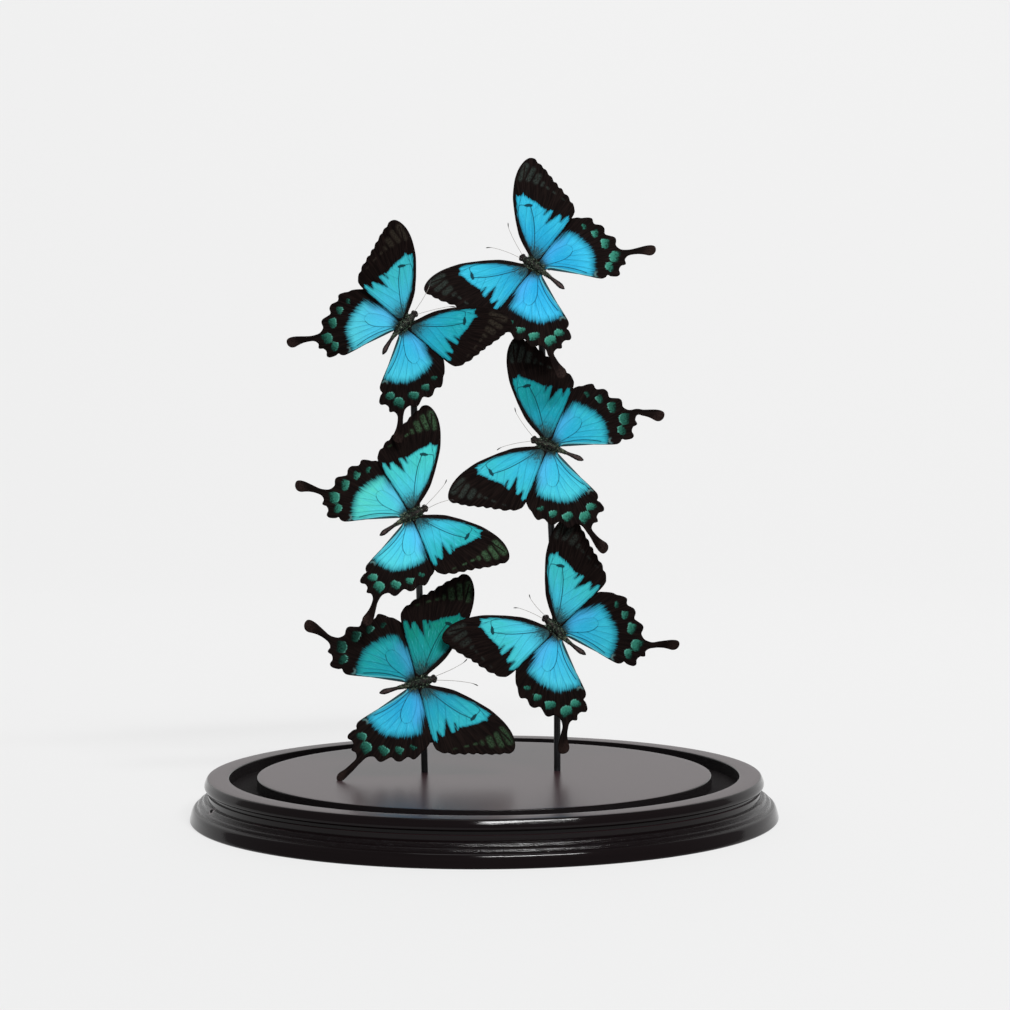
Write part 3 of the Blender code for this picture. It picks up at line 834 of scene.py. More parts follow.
def distance_to(line, points, closed=False):
    """How far each point is from the nearest place on a line."""
    starts = line if closed else line[:-1]
    ends = np.roll(line, -1, 0) if closed else line[1:]
    nearest = np.full(len(points), FAR)
    for a, b in zip(starts, ends):
        step = b - a
        share = np.clip((points - a) @ step / max(step @ step, TINY), 0.0, 1.0)
        nearest = np.minimum(nearest, np.linalg.norm(points - (a + share[:, None] * step), axis=1))
    return nearest


def depth_in(loop, points):
    """How far inside a closed loop each point lies, and below zero outside it."""
    inside = np.zeros(len(points), bool)
    for a, b in zip(loop, np.roll(loop, -1, 0)):
        spans = (a[1] > points[:, 1]) != (b[1] > points[:, 1])
        rise = b[1] - a[1] if b[1] != a[1] else TINY
        inside ^= spans & (points[:, 0] < a[0] + (points[:, 1] - a[1]) * (b[0] - a[0]) / rise)
    return np.where(inside, 1.0, -1.0) * distance_to(loop, points, closed=True)


# %% [markdown]
# # Wing mesh
# A wing is filled with triangles about half a millimetre wide. The veins and the edges of the markings are
# drawn in first and the triangles are made to follow them, so that a marking's edge stays clean. The other
# points lie on a triangular grid, clear of those lines, with two rows beside each vein to keep it even.

# %% Fill a wing with triangles
EDGE_SPACING, VEIN_SPACING, GRID_SPACING = 0.45, 0.5, 0.55
VEIN_FROM_EDGE, FROM_EDGE, GRID_FROM_LINES = 0.35, 0.3, 0.36
BESIDE_VEIN, BESIDE_FROM_LINES = 0.22, 0.17
MERGED_WITHIN, LEAST_AREA = 1e-5, 1e-6


class WingPlan:
    """One wing drawn flat: its points, its triangles, and the values that its finish reads."""

    def __init__(self, outline, veins, loops, root):
        self.edge = smooth_line(outline, EDGE_SPACING, closed=True)
        self.veins = [(width, smooth_line(line, VEIN_SPACING)) for width, line in veins]
        self.inked = []
        points, edges = list(self.edge), [(i, (i + 1) % len(self.edge)) for i in range(len(self.edge))]
        for line, closed in [(line, False) for width, line in self.veins] + [(loop, True) for loop in loops]:
            inner = line[depth_in(self.edge, line) > (FROM_EDGE if closed else VEIN_FROM_EDGE)]
            whole = closed and len(inner) == len(line)
            if closed or len(inner) > 2:
                start, count = len(points), len(inner)
                points.extend(inner)
                edges += [(start + i, start + i + 1) for i in range(count - 1)]
                edges += [(start + count - 1, start)] if whole else []
                self.inked.append(np.vstack([inner, inner[:1]]) if whole else inner)
        points.extend(self.grid())
        points.extend(self.beside_veins())
        self.triangulate(points, edges)
        away = self.points - np.array(root)
        self.angle = np.degrees(np.arctan2(away[:, 1], away[:, 0]))
        self.distance = np.linalg.norm(away, axis=1)
        self.values = {"rim_depth": distance_to(self.edge, self.points, closed=True),
                       "vein_gap": self.vein_gap()}

    def grid(self):
        """A triangular grid of points inside the edge, clear of the drawn lines."""
        low, high = self.edge.min(0), self.edge.max(0)
        rows = np.arange(low[1], high[1], GRID_SPACING * math.sqrt(3.0) / 2.0)
        grid = []
        for k, y in enumerate(rows):
            shift = GRID_SPACING / 2 if k % 2 else 0.0
            grid += [(x + shift, y) for x in np.arange(low[0], high[0], GRID_SPACING)]
        grid = np.array(grid)
        grid = grid[depth_in(self.edge, grid) > FROM_EDGE]
        for line in self.inked:
            grid = grid[distance_to(line, grid) > GRID_FROM_LINES]
        return grid

    def beside_veins(self):
        """Points a little to both sides of each vein, which keep its line even."""
        beside = []
        for width, line in self.veins:
            along = np.gradient(line, axis=0)
            across = np.stack([-along[:, 1], along[:, 0]], 1) / np.linalg.norm(along, axis=1)[:, None]
            beside += [line + BESIDE_VEIN * across, line - BESIDE_VEIN * across]
        beside = np.concatenate(beside)
        beside = beside[depth_in(self.edge, beside) > FROM_EDGE]
        for line in [self.edge] + self.inked:
            beside = beside[distance_to(line, beside) > BESIDE_FROM_LINES]
        return beside

    def triangulate(self, points, edges):
        """Fill the wing, turn every triangle face up, and list the edges that lie on its rim."""
        filled = delaunay_2d_cdt([Vector(p) for p in points], edges, [], 1, MERGED_WITHIN)
        self.points = np.array([tuple(p) for p in filled[0]])
        faces = np.array([tuple(face) for face in filled[2]])
        corners = self.points[faces]
        side_a, side_b = corners[:, 1] - corners[:, 0], corners[:, 2] - corners[:, 0]
        area = side_a[:, 0] * side_b[:, 1] - side_a[:, 1] * side_b[:, 0]
        faces[area < 0] = faces[area < 0][:, ::-1]
        self.faces = faces[np.abs(area) > LEAST_AREA]
        sides = {(face[k], face[(k + 1) % 3]): None for face in self.faces.tolist() for k in range(3)}
        self.rim = [(a, b) for a, b in sides if (b, a) not in sides]

    def vein_gap(self):
        """Distance to the nearest vein, less half of that vein's width."""
        gap = np.full(len(self.points), FAR)
        for width, line in self.veins:
            gap = np.minimum(gap, distance_to(line, self.points) - width)
        return gap


# %% [markdown]
# Two plans are enough, because a left wing is a right one mirrored. Each also stores every point's angle
# and distance from the wing's root, along which the streaks run.

# %% Draw the two plans
FORE_ROOT, HIND_ROOT = (1.0, 3.0), (1.0, -1.5)
BLUE_SPACING, LUNULE_SPACING = 0.4, 0.3

fore_loop = straight_loop(FORE_BLUE, BLUE_SPACING)
hind_loop = smooth_line(HIND_BLUE, BLUE_SPACING, closed=True)
lunule_loops = [smooth_line(loop, LUNULE_SPACING, closed=True) for _, _, _, loop in LUNULES]
fore = WingPlan(FOREWING, FORE_VEINS, [fore_loop], FORE_ROOT)
print("forewing:", len(fore.points), "points,", len(fore.faces), "triangles")
hind = WingPlan(HINDWING, HIND_VEINS, [hind_loop] + lunule_loops, HIND_ROOT)
print("hindwing:", len(hind.points), "points,", len(hind.faces), "triangles")

# %% [markdown]
# The markings become values at the plan's points. Both plans carry the same names, so what a wing hasn't
# got is stored as far away or as nothing. The forewing is dusted at its root and along its front edge.

# %% Store the forewing's markings
MARKING_SPACING = 0.8
ABSENT = {"dust": 0.0, "root_dust": 0.0, "violet": 0.0, "lunule_depth": -9.0, "lunule_light": 0.0,
          "eyespot": 0.0, "margin_strip": 9.0}
for plan, loop in ((fore, fore_loop), (hind, hind_loop)):
    plan.values["blue_depth"] = depth_in(loop, plan.points)
    plan.values.update((name, np.full(len(plan.points), value)) for name, value in ABSENT.items())

for width, strength, line in FORE_DUST:
    away = distance_to(smooth_line(line, MARKING_SPACING), fore.points)
    fore.values["dust"] = np.maximum(fore.values["dust"], strength * np.exp(-(away / width) ** 4))
from_costa = distance_to(smooth_line(FOREWING[1:9], MARKING_SPACING), fore.points)
at_root = np.clip(1.25 - fore.distance / 10.5, 0.0, 1.0)
along_costa = np.clip(1.15 - from_costa / 4.4, 0.0, 1.0) * np.clip(1.7 - fore.distance / 14.0, 0.0, 1.0)
fore.values["root_dust"] = np.maximum(at_root, along_costa)
print("forewing dust up to", fore.values["dust"].max().round(2))

# %% [markdown]
# On the hindwing, each point takes the depth and light of the lunule that it lies deepest in. A violet cast
# runs along the front edge, the eyespot is half a ring, and the strip beside the body is pale and turned
# up.

# %% Store the hindwing's markings
VIOLET_LINE, VIOLET_WIDTH = [(3.0, -1.2), (9.0, -1.0), (17.0, -3.0)], 3.4
EYESPOT_SIDE, EYESPOT_WIDTH = np.array([-0.6, 0.8]), 0.3

hind.values["root_dust"] = np.clip(1.15 - hind.distance / 6.5, 0.0, 1.0)
from_violet = distance_to(smooth_line(VIOLET_LINE, MARKING_SPACING), hind.points)
hind.values["violet"] = np.exp(-(from_violet / VIOLET_WIDTH) ** 2)
for (strength, slope, length, _), curve in zip(LUNULES, lunule_loops):
    depth = depth_in(curve, hind.points)
    down = hind.points @ np.array(slope) - (curve @ np.array(slope)).min()
    light = strength * np.clip(1.0 - down / length, 0.0, 1.0)
    closer = depth > hind.values["lunule_depth"]
    hind.values["lunule_light"] = np.where(closer, light, hind.values["lunule_light"])
    hind.values["lunule_depth"] = np.where(closer, depth, hind.values["lunule_depth"])
from_eye = hind.points - np.array(EYESPOT_CENTRE)
eye_ring = np.abs(np.linalg.norm(from_eye, axis=1) - EYESPOT_RADIUS)
eye_side = np.clip(from_eye @ EYESPOT_SIDE / EYESPOT_RADIUS + 0.25, 0.0, 1.0)
hind.values["eyespot"] = np.exp(-(eye_ring / EYESPOT_WIDTH) ** 2) * eye_side
hind.values["margin_strip"] = distance_to(smooth_line(INNER_MARGIN, MARKING_SPACING), hind.points)
print("values on each wing:", sorted(hind.values))

# %% [markdown]
# # Specimens
# These rows say how each butterfly sits, and repeat the CAD model's. The pairs are its right and left side.
# A butterfly is turned in its own plane by heading, tipped forward by nod and turned about the vertical by
# yaw. Its wings are swung to the head by spread and raised by lift, and its tails are bent by tail_turn and
# twisted by tail_twist. Sway bends the end of the abdomen to one side.

# %% The six specimens
SIDE_NAMES, SIDES = ("right", "left"), (1.0, -1.0)
SPECIMENS = {
    "top_left": dict(
        place=(-37.2, -1.5, 233.8), size=0.975, heading=-44.5, nod=8.0, yaw=0.5, sway=2.7,
        fore_spread=(6.5, 0.5), hind_spread=(2.0, -2.5), fore_lift=(18.0, 19.0), hind_lift=(17.5, 15.5),
        tail_turn=(-3.0, -1.0), tail_twist=(8.0, -6.0), antenna_tips=((11.1, 24.1), (-5.2, 24.9))),
    "middle_left": dict(
        place=(-34.1, -1.6, 143.2), size=0.992, heading=-61.5, nod=-11.5, yaw=-4.0, sway=1.1,
        fore_spread=(-3.5, -3.0), hind_spread=(-0.5, 1.5), fore_lift=(12.0, 10.0), hind_lift=(10.5, 8.5),
        tail_turn=(2.0, 2.0), tail_twist=(5.0, 8.0), antenna_tips=((3.0, 21.5), (-6.3, 23.2))),
    "bottom_left": dict(
        place=(-31.4, -2.4, 63.6), size=1.057, heading=-76.5, nod=-10.5, yaw=4.0, sway=0.2,
        fore_spread=(0.0, -0.5), hind_spread=(-2.0, -1.0), fore_lift=(14.0, 8.0), hind_lift=(14.5, 6.5),
        tail_turn=(-9.0, 7.0), tail_twist=(44.0, 6.0), antenna_tips=((7.5, 26.0), (-4.2, 24.1))),
    "top_right": dict(
        place=(24.7, 1.6, 261.1), size=1.002, heading=54.5, nod=-14.0, yaw=-6.5, sway=-0.7,
        fore_spread=(0.0, 2.0), hind_spread=(3.0, 2.0), fore_lift=(1.0, 6.0), hind_lift=(-3.5, 5.0),
        tail_turn=(-1.0, -16.0), tail_twist=(-7.0, 10.0), antenna_tips=((8.8, 22.9), (-5.9, 24.0))),
    "middle_right": dict(
        place=(30.9, 1.1, 176.2), size=1.008, heading=68.0, nod=-5.5, yaw=-4.0, sway=-0.2,
        fore_spread=(-0.5, 0.0), hind_spread=(1.5, 1.0), fore_lift=(3.0, 6.0), hind_lift=(1.0, 5.0),
        tail_turn=(-29.0, -12.0), tail_twist=(8.0, -9.0), antenna_tips=((10.0, 21.6), (-10.7, 21.9))),
    "bottom_right": dict(
        place=(34.5, 1.4, 88.4), size=1.027, heading=43.5, nod=-3.0, yaw=1.0, sway=1.8,
        fore_spread=(0.5, 1.0), hind_spread=(-4.5, -3.0), fore_lift=(7.0, 8.0), hind_lift=(4.5, 6.0),
        tail_turn=(11.0, 11.0), tail_twist=(25.0, 6.0), antenna_tips=((1.6, 20.7), (-6.7, 21.4))),
}


def seat(row, points):
    """Carry points of the flat butterfly, in millimetres, to their place on the display, in metres."""
    turn = Matrix.Rotation(math.radians(row["yaw"]), 4, "Z")
    lean = Matrix.Rotation(math.radians(90.0 + row["nod"]), 4, "X")
    face = Matrix.Rotation(math.radians(row["heading"]), 4, "Z")
    whole = np.array(Matrix.Translation(Vector(row["place"]) * MM) @ turn @ lean @ face)
    return (np.asarray(points) * row["size"] * MM) @ whole[:3, :3].T + whole[:3, 3]


print("specimens:", list(SPECIMENS))

# %% [markdown]
# # Wing finish
# The upper side is turquoise inside a velvet black border. The blue is azure near the body and greener
# outward, with dark and pale rays in it. Every wing has these effects, so each of them is a node group that
# gives masks, and a wing's material lays its own colours over each other by those masks.

# %% Group: rays in the blue


def streaks(rays, across, along):
    """Streaks along the wing's rays, finer for a larger across and shorter for a larger along."""
    return use_group(wing_streaks, Rays=rays, Across=across, Along=along)["Streak"]


blue_rays, given, result = start_group(
    "blue_rays", {"Rays": ("Vector", None)}, ["Outward", "Dark", "Pale", "Narrow", "Rough"])
wander = times(minus(streaks(given["Rays"], 0.22, 0.07), 0.5), 22.0)
narrow, hairline = streaks(given["Rays"], 1.1, 0.10), streaks(given["Rays"], 2.3, 0.22)
join(result["Outward"], fade(plus(parts_of(given["Rays"])[1], wander), 9.0, 27.0))
join(result["Dark"], fade(narrow, 0.50, 0.72, 0.0, 0.38))
join(result["Pale"], fade(hairline, 0.44, 0.26, 0.0, 0.34))
join(result["Narrow"], narrow)
join(result["Rough"], plus(times(narrow, 0.45), times(hairline, 0.55)))

# %% [markdown]
# A vein is a thin dark line, and the blue is a little darker beside it. At the wing's root, dark and
# grey-green scales lie loose over the blue, in short rays. They are a powder of noise and streaks, which is
# let through where the amount is large.

# %% Groups: veins and loose scales
vein_lines, given, result = start_group("vein_lines", {"Gap": ("Float", 1.0)}, ["Shade", "Line"])
join(result["Shade"], fade(given["Gap"], 0.50, 0.0, 0.0, 0.30))
join(result["Line"], times(fade(given["Gap"], 0.16, -0.05), 0.90))

loose_scales, given, result = start_group(
    "loose_scales",
    {"Place": ("Vector", None), "Rays": ("Vector", None), "Amount": ("Float", 0.0)}, ["Cover", "Pale"])
powder = times(grain(given["Place"], 2.4, 2.0, 0.7), 0.3)
powder = plus(times(streaks(given["Rays"], 0.34, 0.60), 0.7), powder)
join(result["Cover"], fade(plus(powder, times(given["Amount"], 0.60)), 0.72, 1.00, 0.0, 0.85))
join(result["Pale"], fade(streaks(given["Rays"], 0.50, 0.25), 0.50, 0.66))

# %% [markdown]
# In the forewing's border a dust of one colour lies in patches that stay clear of the veins. It is cloudy,
# so noise thins it in places. The ends of the hindwing's tails are rubbed, more in some places than in
# others.

# %% Groups: dust patches and rubbed tail
dust_patches, given, result = start_group(
    "dust_patches",
    {"Place": ("Vector", None), "Dust": ("Float", 0.0), "Gap": ("Float", 1.0), "Share": ("Float", 1.0)},
    ["Mask"])
cloudy = fade(grain(given["Place"], 1.5, 3.0, 0.7), 0.36, 0.60, 0.15, 1.0)
patches = times(times(given["Dust"], cloudy), fade(given["Gap"], 0.1, 0.6))
join(result["Mask"], times(patches, given["Share"]))

rubbed_tail, given, result = start_group("rubbed_tail", {"Place": ("Vector", None)}, ["Mask"])
mottled = grain(given["Place"], 1.5, 3.0, 0.7)
tail_end = fade(parts_of(given["Place"])[1], -38.0, -41.5)
join(result["Mask"], times(tail_end, fade(mottled, 0.35, 0.65, 0.1, 0.7)))

# %% [markdown]
# The hindwing's lunules are green, mottled and dark on their outer side, with a pale line on the inner one.
# The group gives the spot itself, how far it is lit, and that line.

# %% Group: lunules
lunules, given, result = start_group(
    "lunules",
    {"Place": ("Vector", None), "Rays": ("Vector", None), "Depth": ("Float", -9.0), "Light": ("Float", 0.0)},
    ["Spot", "Lit", "Line"])
spot = use_group(ragged_edge, Depth=given["Depth"], Streak=streaks(given["Rays"], 2.2, 0.3), Reach=2.4,
                 Softness=0.20)["Mask"]
mottled = times(minus(grain(given["Place"], 1.5, 3.0, 0.7), 0.5), 1.5)
join(result["Spot"], times(spot, fade(given["Light"], 0.0, 0.25)))
join(result["Lit"], fade(plus(given["Light"], mottled), 0.05, 0.85))
join(result["Line"], times(fade(given["Depth"], 0.50, 0.15), fade(given["Light"], 0.60, 0.95, 0.0, 0.55)))

# %% [markdown]
# A wing's material starts from the blue and lays the other colours over it: rays, a violet cast, darker
# scales, the dusky edge, veins and loose scales. The forewing's blue ends crisply and the hindwing's is
# feathered, so each part has its own reach and softness of the edge. The border is velvet black, which
# reflects almost nothing, and the blue is a little smoother.

# %% Finish of a wing's upper side
EDGES = {"fore": (3.0, 0.15, 1.1), "hind": (8.0, 0.70, 3.4)}  # reach, softness and width of the dusk
PALE_RAY, VIOLET = (0.14, 0.66, 0.92), (0.100, 0.31, 0.74)
DUSK, INK = (0.003, 0.060, 0.085), (0.002, 0.008, 0.012)
DIM_BLUE, LOOSE_DARK, LOOSE_PALE = (0.018, 0.055, 0.068), (0.005, 0.009, 0.010), (0.045, 0.085, 0.072)
BORDER, BORDER_SHEEN = (0.0022, 0.0011, 0.0010), (0.0085, 0.0048, 0.0040)
MARGIN_BLUE, RUBBED_BROWN = (0.10, 0.40, 0.46), (0.024, 0.014, 0.012)
LUNULE_LINE, EYESPOT_COLOUR = (0.13, 0.42, 0.34), (0.16, 0.33, 0.33)


def darker(colour, share):
    return tuple(share * value for value in colour)


def wing_top(name, part, inner, outer, lunule, dust, dust_share):
    """The finish of the upper side of a forewing or a hindwing."""
    material, tree, surface = start_material(name, Specular_IOR_Level=0.035)
    reach, softness, dusk = EDGES[part]
    place, rays = painted(tree, "place", "Vector"), painted(tree, "rays", "Vector")
    depth, gap, amount = (painted(tree, key) for key in ("blue_depth", "vein_gap", "root_dust"))
    ray, vein = use_group(blue_rays, Rays=rays), use_group(vein_lines, Gap=gap)
    scales = use_group(fine_scales, Place=place, Size=0.42, Contrast=0.6)
    loose = use_group(loose_scales, Place=place, Rays=rays, Amount=amount)
    feathered = plus(depth, times(minus(ray["Rough"], 0.5), 1.3 * reach))
    blue = layered(
        tint(ray["Outward"], inner, outer),
        (ray["Dark"], darker(inner, 0.55)),
        (ray["Pale"], PALE_RAY),
        (times(painted(tree, "violet"), 0.30), VIOLET),
        (fade(scales["Tone"], 1.03, 1.13, 0.0, 0.36), darker(inner, 0.35)),
        (fade(feathered, dusk, 0.0, 0.0, 0.66), DUSK),
        (vein["Shade"], darker(inner, 0.4)),
        (vein["Line"], INK),
        (times(amount, 0.65), DIM_BLUE),
        (loose["Cover"], tint(loose["Pale"], LOOSE_DARK, LOOSE_PALE)))
    velvet = tint(fade(ray["Narrow"], 0.35, 0.75), BORDER, BORDER_SHEEN)
    mask = use_group(ragged_edge, Depth=depth, Streak=ray["Rough"], Reach=reach, Softness=softness)["Mask"]
    if part == "fore":
        patches = use_group(dust_patches, Place=place, Dust=painted(tree, "dust"), Gap=gap, Share=dust_share)
        colour = layered(velvet, (patches["Mask"], dust), (mask, blue))
    else:
        blue = layered(blue, (fade(painted(tree, "margin_strip"), 1.1, 0.5, 0.0, 0.65), MARGIN_BLUE),
                       (fade(painted(tree, "rim_depth"), 0.36, 0.10, 0.0, 0.85), BORDER_SHEEN))
        marks = use_group(lunules, Place=place, Rays=rays, Depth=painted(tree, "lunule_depth"),
                          Light=painted(tree, "lunule_light"))
        green = tint(marks["Lit"], darker(lunule, 0.10), lunule)
        colour = layered(
            velvet, (mask, blue),
            (marks["Spot"], tint(marks["Line"], green, LUNULE_LINE)),
            (times(painted(tree, "eyespot"), 0.6), EYESPOT_COLOUR),
            (use_group(rubbed_tail, Place=place)["Mask"], RUBBED_BROWN))
    relief = plus(times(scales["Height"], 0.5), ray["Narrow"])
    finish_with(surface, colour, fade(mask, 0.0, 1.0, 0.75, 0.55), bump(relief, 0.35, 0.0001))
    return material


# %% [markdown]
# The photograph doesn't show the undersides. In swallowtails of this kind they are dull brown-black with a
# dusty band, so the same plan is used with quiet colours.

# %% Finish of the underside
UNDER_DARK, UNDER_PALE = (0.010, 0.0065, 0.0050), (0.030, 0.021, 0.015)
UNDER_DUST, UNDER_SPOT, UNDER_VEIN = (0.085, 0.075, 0.055), (0.13, 0.10, 0.055), (0.006, 0.004, 0.003)

underside, tree, surface = start_material("wing_underside", Specular_IOR_Level=0.1)
place, rays = painted(tree, "place", "Vector"), painted(tree, "rays", "Vector")
streak = streaks(rays, 0.9, 0.1)
scales = use_group(fine_scales, Place=place, Size=0.3, Contrast=0.6)
away = parts_of(rays)[1]
band = times(fade(away, 17.0, 25.0), fade(away, 40.0, 33.0))
spot = use_group(ragged_edge, Depth=painted(tree, "lunule_depth"), Streak=streak, Reach=0.6,
                 Softness=0.3)["Mask"]
brown = layered(
    tint(streak, UNDER_DARK, UNDER_PALE),
    (times(band, fade(streak, 0.35, 0.65, 0.1, 0.55)), UNDER_DUST),
    (times(spot, 0.5), UNDER_SPOT),
    (fade(painted(tree, "vein_gap"), 0.16, -0.02, 0.0, 0.7), UNDER_VEIN))
toned = add_node(tree, "Mix", data_type="RGBA", blend_type="MULTIPLY")
for socket, source in zip((toned.inputs[0], toned.inputs[6], toned.inputs[7]), (1.0, brown, scales["Tone"])):
    join(socket, source)
finish_with(surface, toned.outputs[2], fade(streak, 0.3, 0.7, 0.65, 0.8),
            bump(plus(streak, scales["Height"]), 0.35, 0.0001))
print("underside:", len(tree.nodes), "nodes")

# %% [markdown]
# # Wings
# A dried tail is often bent sideways and twisted. Both are turns about the tail's root that ease in along
# it, so that the tail curves and doesn't kink.

# %% Bend the tails
TAIL_ROOT, TAIL_DIRECTION = np.array([29.3, -33.0]), np.array([0.66, -0.75])
TAIL_LEAST_X, TAIL_MOST_Y = 25.5, -30.0


def eased(values, start, length):
    """From 0 at start to 1 once length further on, without a kink."""
    share = np.clip((values - start) / length, 0.0, 1.0)
    return share * share * (3.0 - 2.0 * share)


def bend_tail(points, angle, twist):
    """Swing the tail sideways by angle and twist its end. Gives the points and their heights."""
    x, y = (points - TAIL_ROOT).T
    along = np.stack([x, y], 1) @ TAIL_DIRECTION
    on_tail = (points[:, 0] >= TAIL_LEAST_X) & (points[:, 1] <= TAIL_MOST_Y)
    roll = math.radians(twist) * eased(along, 1.0, 8.0) * on_tail
    sideways = x * -TAIL_DIRECTION[1] + y * TAIL_DIRECTION[0]
    lost = sideways * (1.0 - np.cos(roll))
    x, y = x + lost * TAIL_DIRECTION[1], y - lost * TAIL_DIRECTION[0]
    turn = math.radians(angle) * eased(along, -1.5, 5.0) * on_tail
    turned = np.stack([x * np.cos(turn) - y * np.sin(turn), x * np.sin(turn) + y * np.cos(turn)], 1)
    return TAIL_ROOT + turned, sideways * np.sin(roll)


# %% [markdown]
# A wing is two skins a seventh of a millimetre apart with a closed rim. Veins stand up as fine ribs, the
# skin dips between them, and a dried wing is never quite flat, so each one has its own slow warp. The wing
# turns about its hinge at the body: first in its plane, then up.

# %% Shape a wing
HINGES = {"fore": (np.array([2.2, 4.5]), 0.30), "hind": (np.array([2.0, -1.0]), -0.15)}
HINGE_HEIGHT = 0.8
SKIN_GAP = 0.14
RIB_HEIGHT, DIP_DEPTH, MARGIN_RISE = 0.05, 0.07, 0.35


def wing_relief(plan, warp):
    """Heights of ribs, dips between them, the turned-up margin and the specimen's own slow warp."""
    gap = np.maximum(plan.values["vein_gap"], 0.0)
    ribs = RIB_HEIGHT * np.exp(-(gap / 0.22) ** 2)
    dips = -DIP_DEPTH * np.clip(gap / 2.0, 0.0, 1.0) ** 1.5
    x, y = plan.points.T
    hold = np.clip((x - 3.0) / 12.0, 0.0, 1.0)
    swell = warp[0] * np.sin(0.17 * x + warp[2]) + warp[1] * np.sin(0.21 * y + warp[3])
    strip = np.clip(1.0 - plan.values["margin_strip"] / 1.7, 0.0, 1.0)
    return ribs + dips + hold * swell + MARGIN_RISE * strip ** 2


def shape_wing(plan, part, side, spread, lift, warp, tail):
    """Both skins of one wing, in the flat butterfly's millimetres."""
    hinge, level = HINGES[part]
    points, twisted = bend_tail(plan.points, *tail) if part == "hind" else (plan.points, 0.0)
    turn, rise = math.radians(spread), math.radians(lift)
    x, y = (points - hinge).T
    x, y = x * math.cos(turn) - y * math.sin(turn), x * math.sin(turn) + y * math.cos(turn)
    height = HINGE_HEIGHT + x * math.sin(rise) + level + wing_relief(plan, warp) + twisted
    half = SKIN_GAP / 2 * np.clip(plan.values["rim_depth"] / 0.5, 0.3, 1.0)
    flat = [side * (hinge[0] + x * math.cos(rise)), hinge[1] + y]
    return np.concatenate([np.stack(flat + [height + half], 1), np.stack(flat + [height - half], 1)])


def wing_faces(plan, side):
    """Faces of the upper skin, the lower skin and the rim."""
    count = len(plan.points)
    upper = plan.faces if side > 0 else plan.faces[:, ::-1]
    rim = []
    for a, b in plan.rim:
        rim.append((b, a, a + count) if side > 0 else (a, b, b + count))
        rim.append((b, a + count, b + count) if side > 0 else (a, b + count, a + count))
    return upper, upper[:, ::-1] + count, np.array(rim)


# %% [markdown]
# The four wings of a butterfly are one mesh. It has five finishes: one for each upper side, and the
# underside. Each pair of wings gets its own warp, and each wing its own shift of the noise, so that no two
# are alike.

# %% Join four wings
UNDERSIDE_SLOT = 4


def store(mesh, values):
    """Keep numbers or vectors at the mesh's points, each kind under its own name."""
    for name, blocks in values.items():
        stored = np.concatenate(blocks).astype(np.float32)
        kind, field = ("FLOAT", "value") if stored.ndim == 1 else ("FLOAT_VECTOR", "vector")
        mesh.attributes.new(name, kind, "POINT").data.foreach_set(field, stored.ravel())


def make_wings(name, row, finishes, rng):
    """All four wings of one butterfly as one mesh, which carries the values for its finishes."""
    points, faces, slots = [], [], []
    values = {key: [] for key in (*fore.values, "place", "rays")}
    start = 0
    for index, side in enumerate(SIDES):
        warp = [rng.uniform(-0.22, 0.22), rng.uniform(-0.16, 0.16), *rng.uniform(0.0, 6.0, 2)]
        for order, (part, plan) in enumerate((("fore", fore), ("hind", hind))):
            spread, lift = row[part + "_spread"][index], row[part + "_lift"][index]
            tail = (row["tail_turn"][index], row["tail_twist"][index])
            points.append(shape_wing(plan, part, side, spread, lift, warp, tail))
            upper, lower, rim = wing_faces(plan, side)
            faces += [upper + start, lower + start, rim + start]
            own_slot = 2 * index + order
            slots += [own_slot] * len(upper) + [UNDERSIDE_SLOT] * len(lower) + [own_slot] * len(rim)
            count = len(plan.points)
            shift = np.full(count, rng.uniform(0.0, 40.0))
            stored = {**plan.values, "place": np.column_stack([plan.points, shift]),
                      "rays": np.column_stack([plan.angle, plan.distance, shift])}
            for key, value in stored.items():
                values[key] += [value, value]
            start += 2 * count
    seated = seat(row, np.concatenate(points))
    mesh = make_mesh(name, seated, np.concatenate(faces).tolist(), finishes, slots)
    store(mesh, values)
    return mesh


# %% [markdown]
# The blue is a sheen of the scales' fine structure. It isn't a pigment, so a wing turns greener or brighter
# with the way it is held. That is painted here: each wing gets its own green and painted light, near the
# body and farther out, and each side's lunules their own painted light, judged for how that specimen sits.

# %% Paint and add the wings
DUSTS = {"grey": (0.032, 0.045, 0.039), "green": (0.034, 0.075, 0.037), "brown": (0.034, 0.029, 0.021)}
LUNULE_GREEN = (0.020, 0.128, 0.092)
GREENER_OUTWARD = 0.25
FIRST_WING_SEED = 100

# A row for each side: green, painted light near the body and painted light farther out on the forewing, the
# same on the hindwing, and the painted light of the lunules. Then the colour of the dust and how much of it
# there is.
PAINTED_SHEENS = {
    "top_left": ((0.40, 0.80, 0.75), (0.30, 1.00, 1.25), 0.80,
                 (0.45, 1.20, 1.10), (0.40, 1.30, 1.40), 0.90, "brown", 0.6),
    "middle_left": ((0.50, 1.15, 0.85), (0.45, 1.25, 1.35), 1.30,
                    (0.60, 1.25, 1.20), (0.70, 1.30, 1.40), 1.10, "green", 0.9),
    "bottom_left": ((0.40, 0.70, 0.90), (0.15, 0.80, 1.00), 0.70,
                    (0.80, 0.65, 0.50), (0.55, 0.70, 0.75), 0.40, "green", 0.6),
    "top_right": ((0.15, 0.75, 0.95), (0.10, 0.75, 1.05), 1.35,
                  (0.20, 0.75, 1.00), (0.05, 0.80, 1.10), 1.40, "grey", 0.6),
    "middle_right": ((0.50, 0.70, 0.60), (0.35, 0.85, 1.00), 0.75,
                     (0.40, 1.00, 1.05), (0.40, 1.05, 1.25), 1.30, "grey", 0.6),
    "bottom_right": ((0.50, 1.15, 1.10), (0.30, 0.95, 1.05), 1.10,
                     (0.50, 1.25, 1.15), (0.30, 1.10, 1.25), 1.30, "grey", 0.4),
}


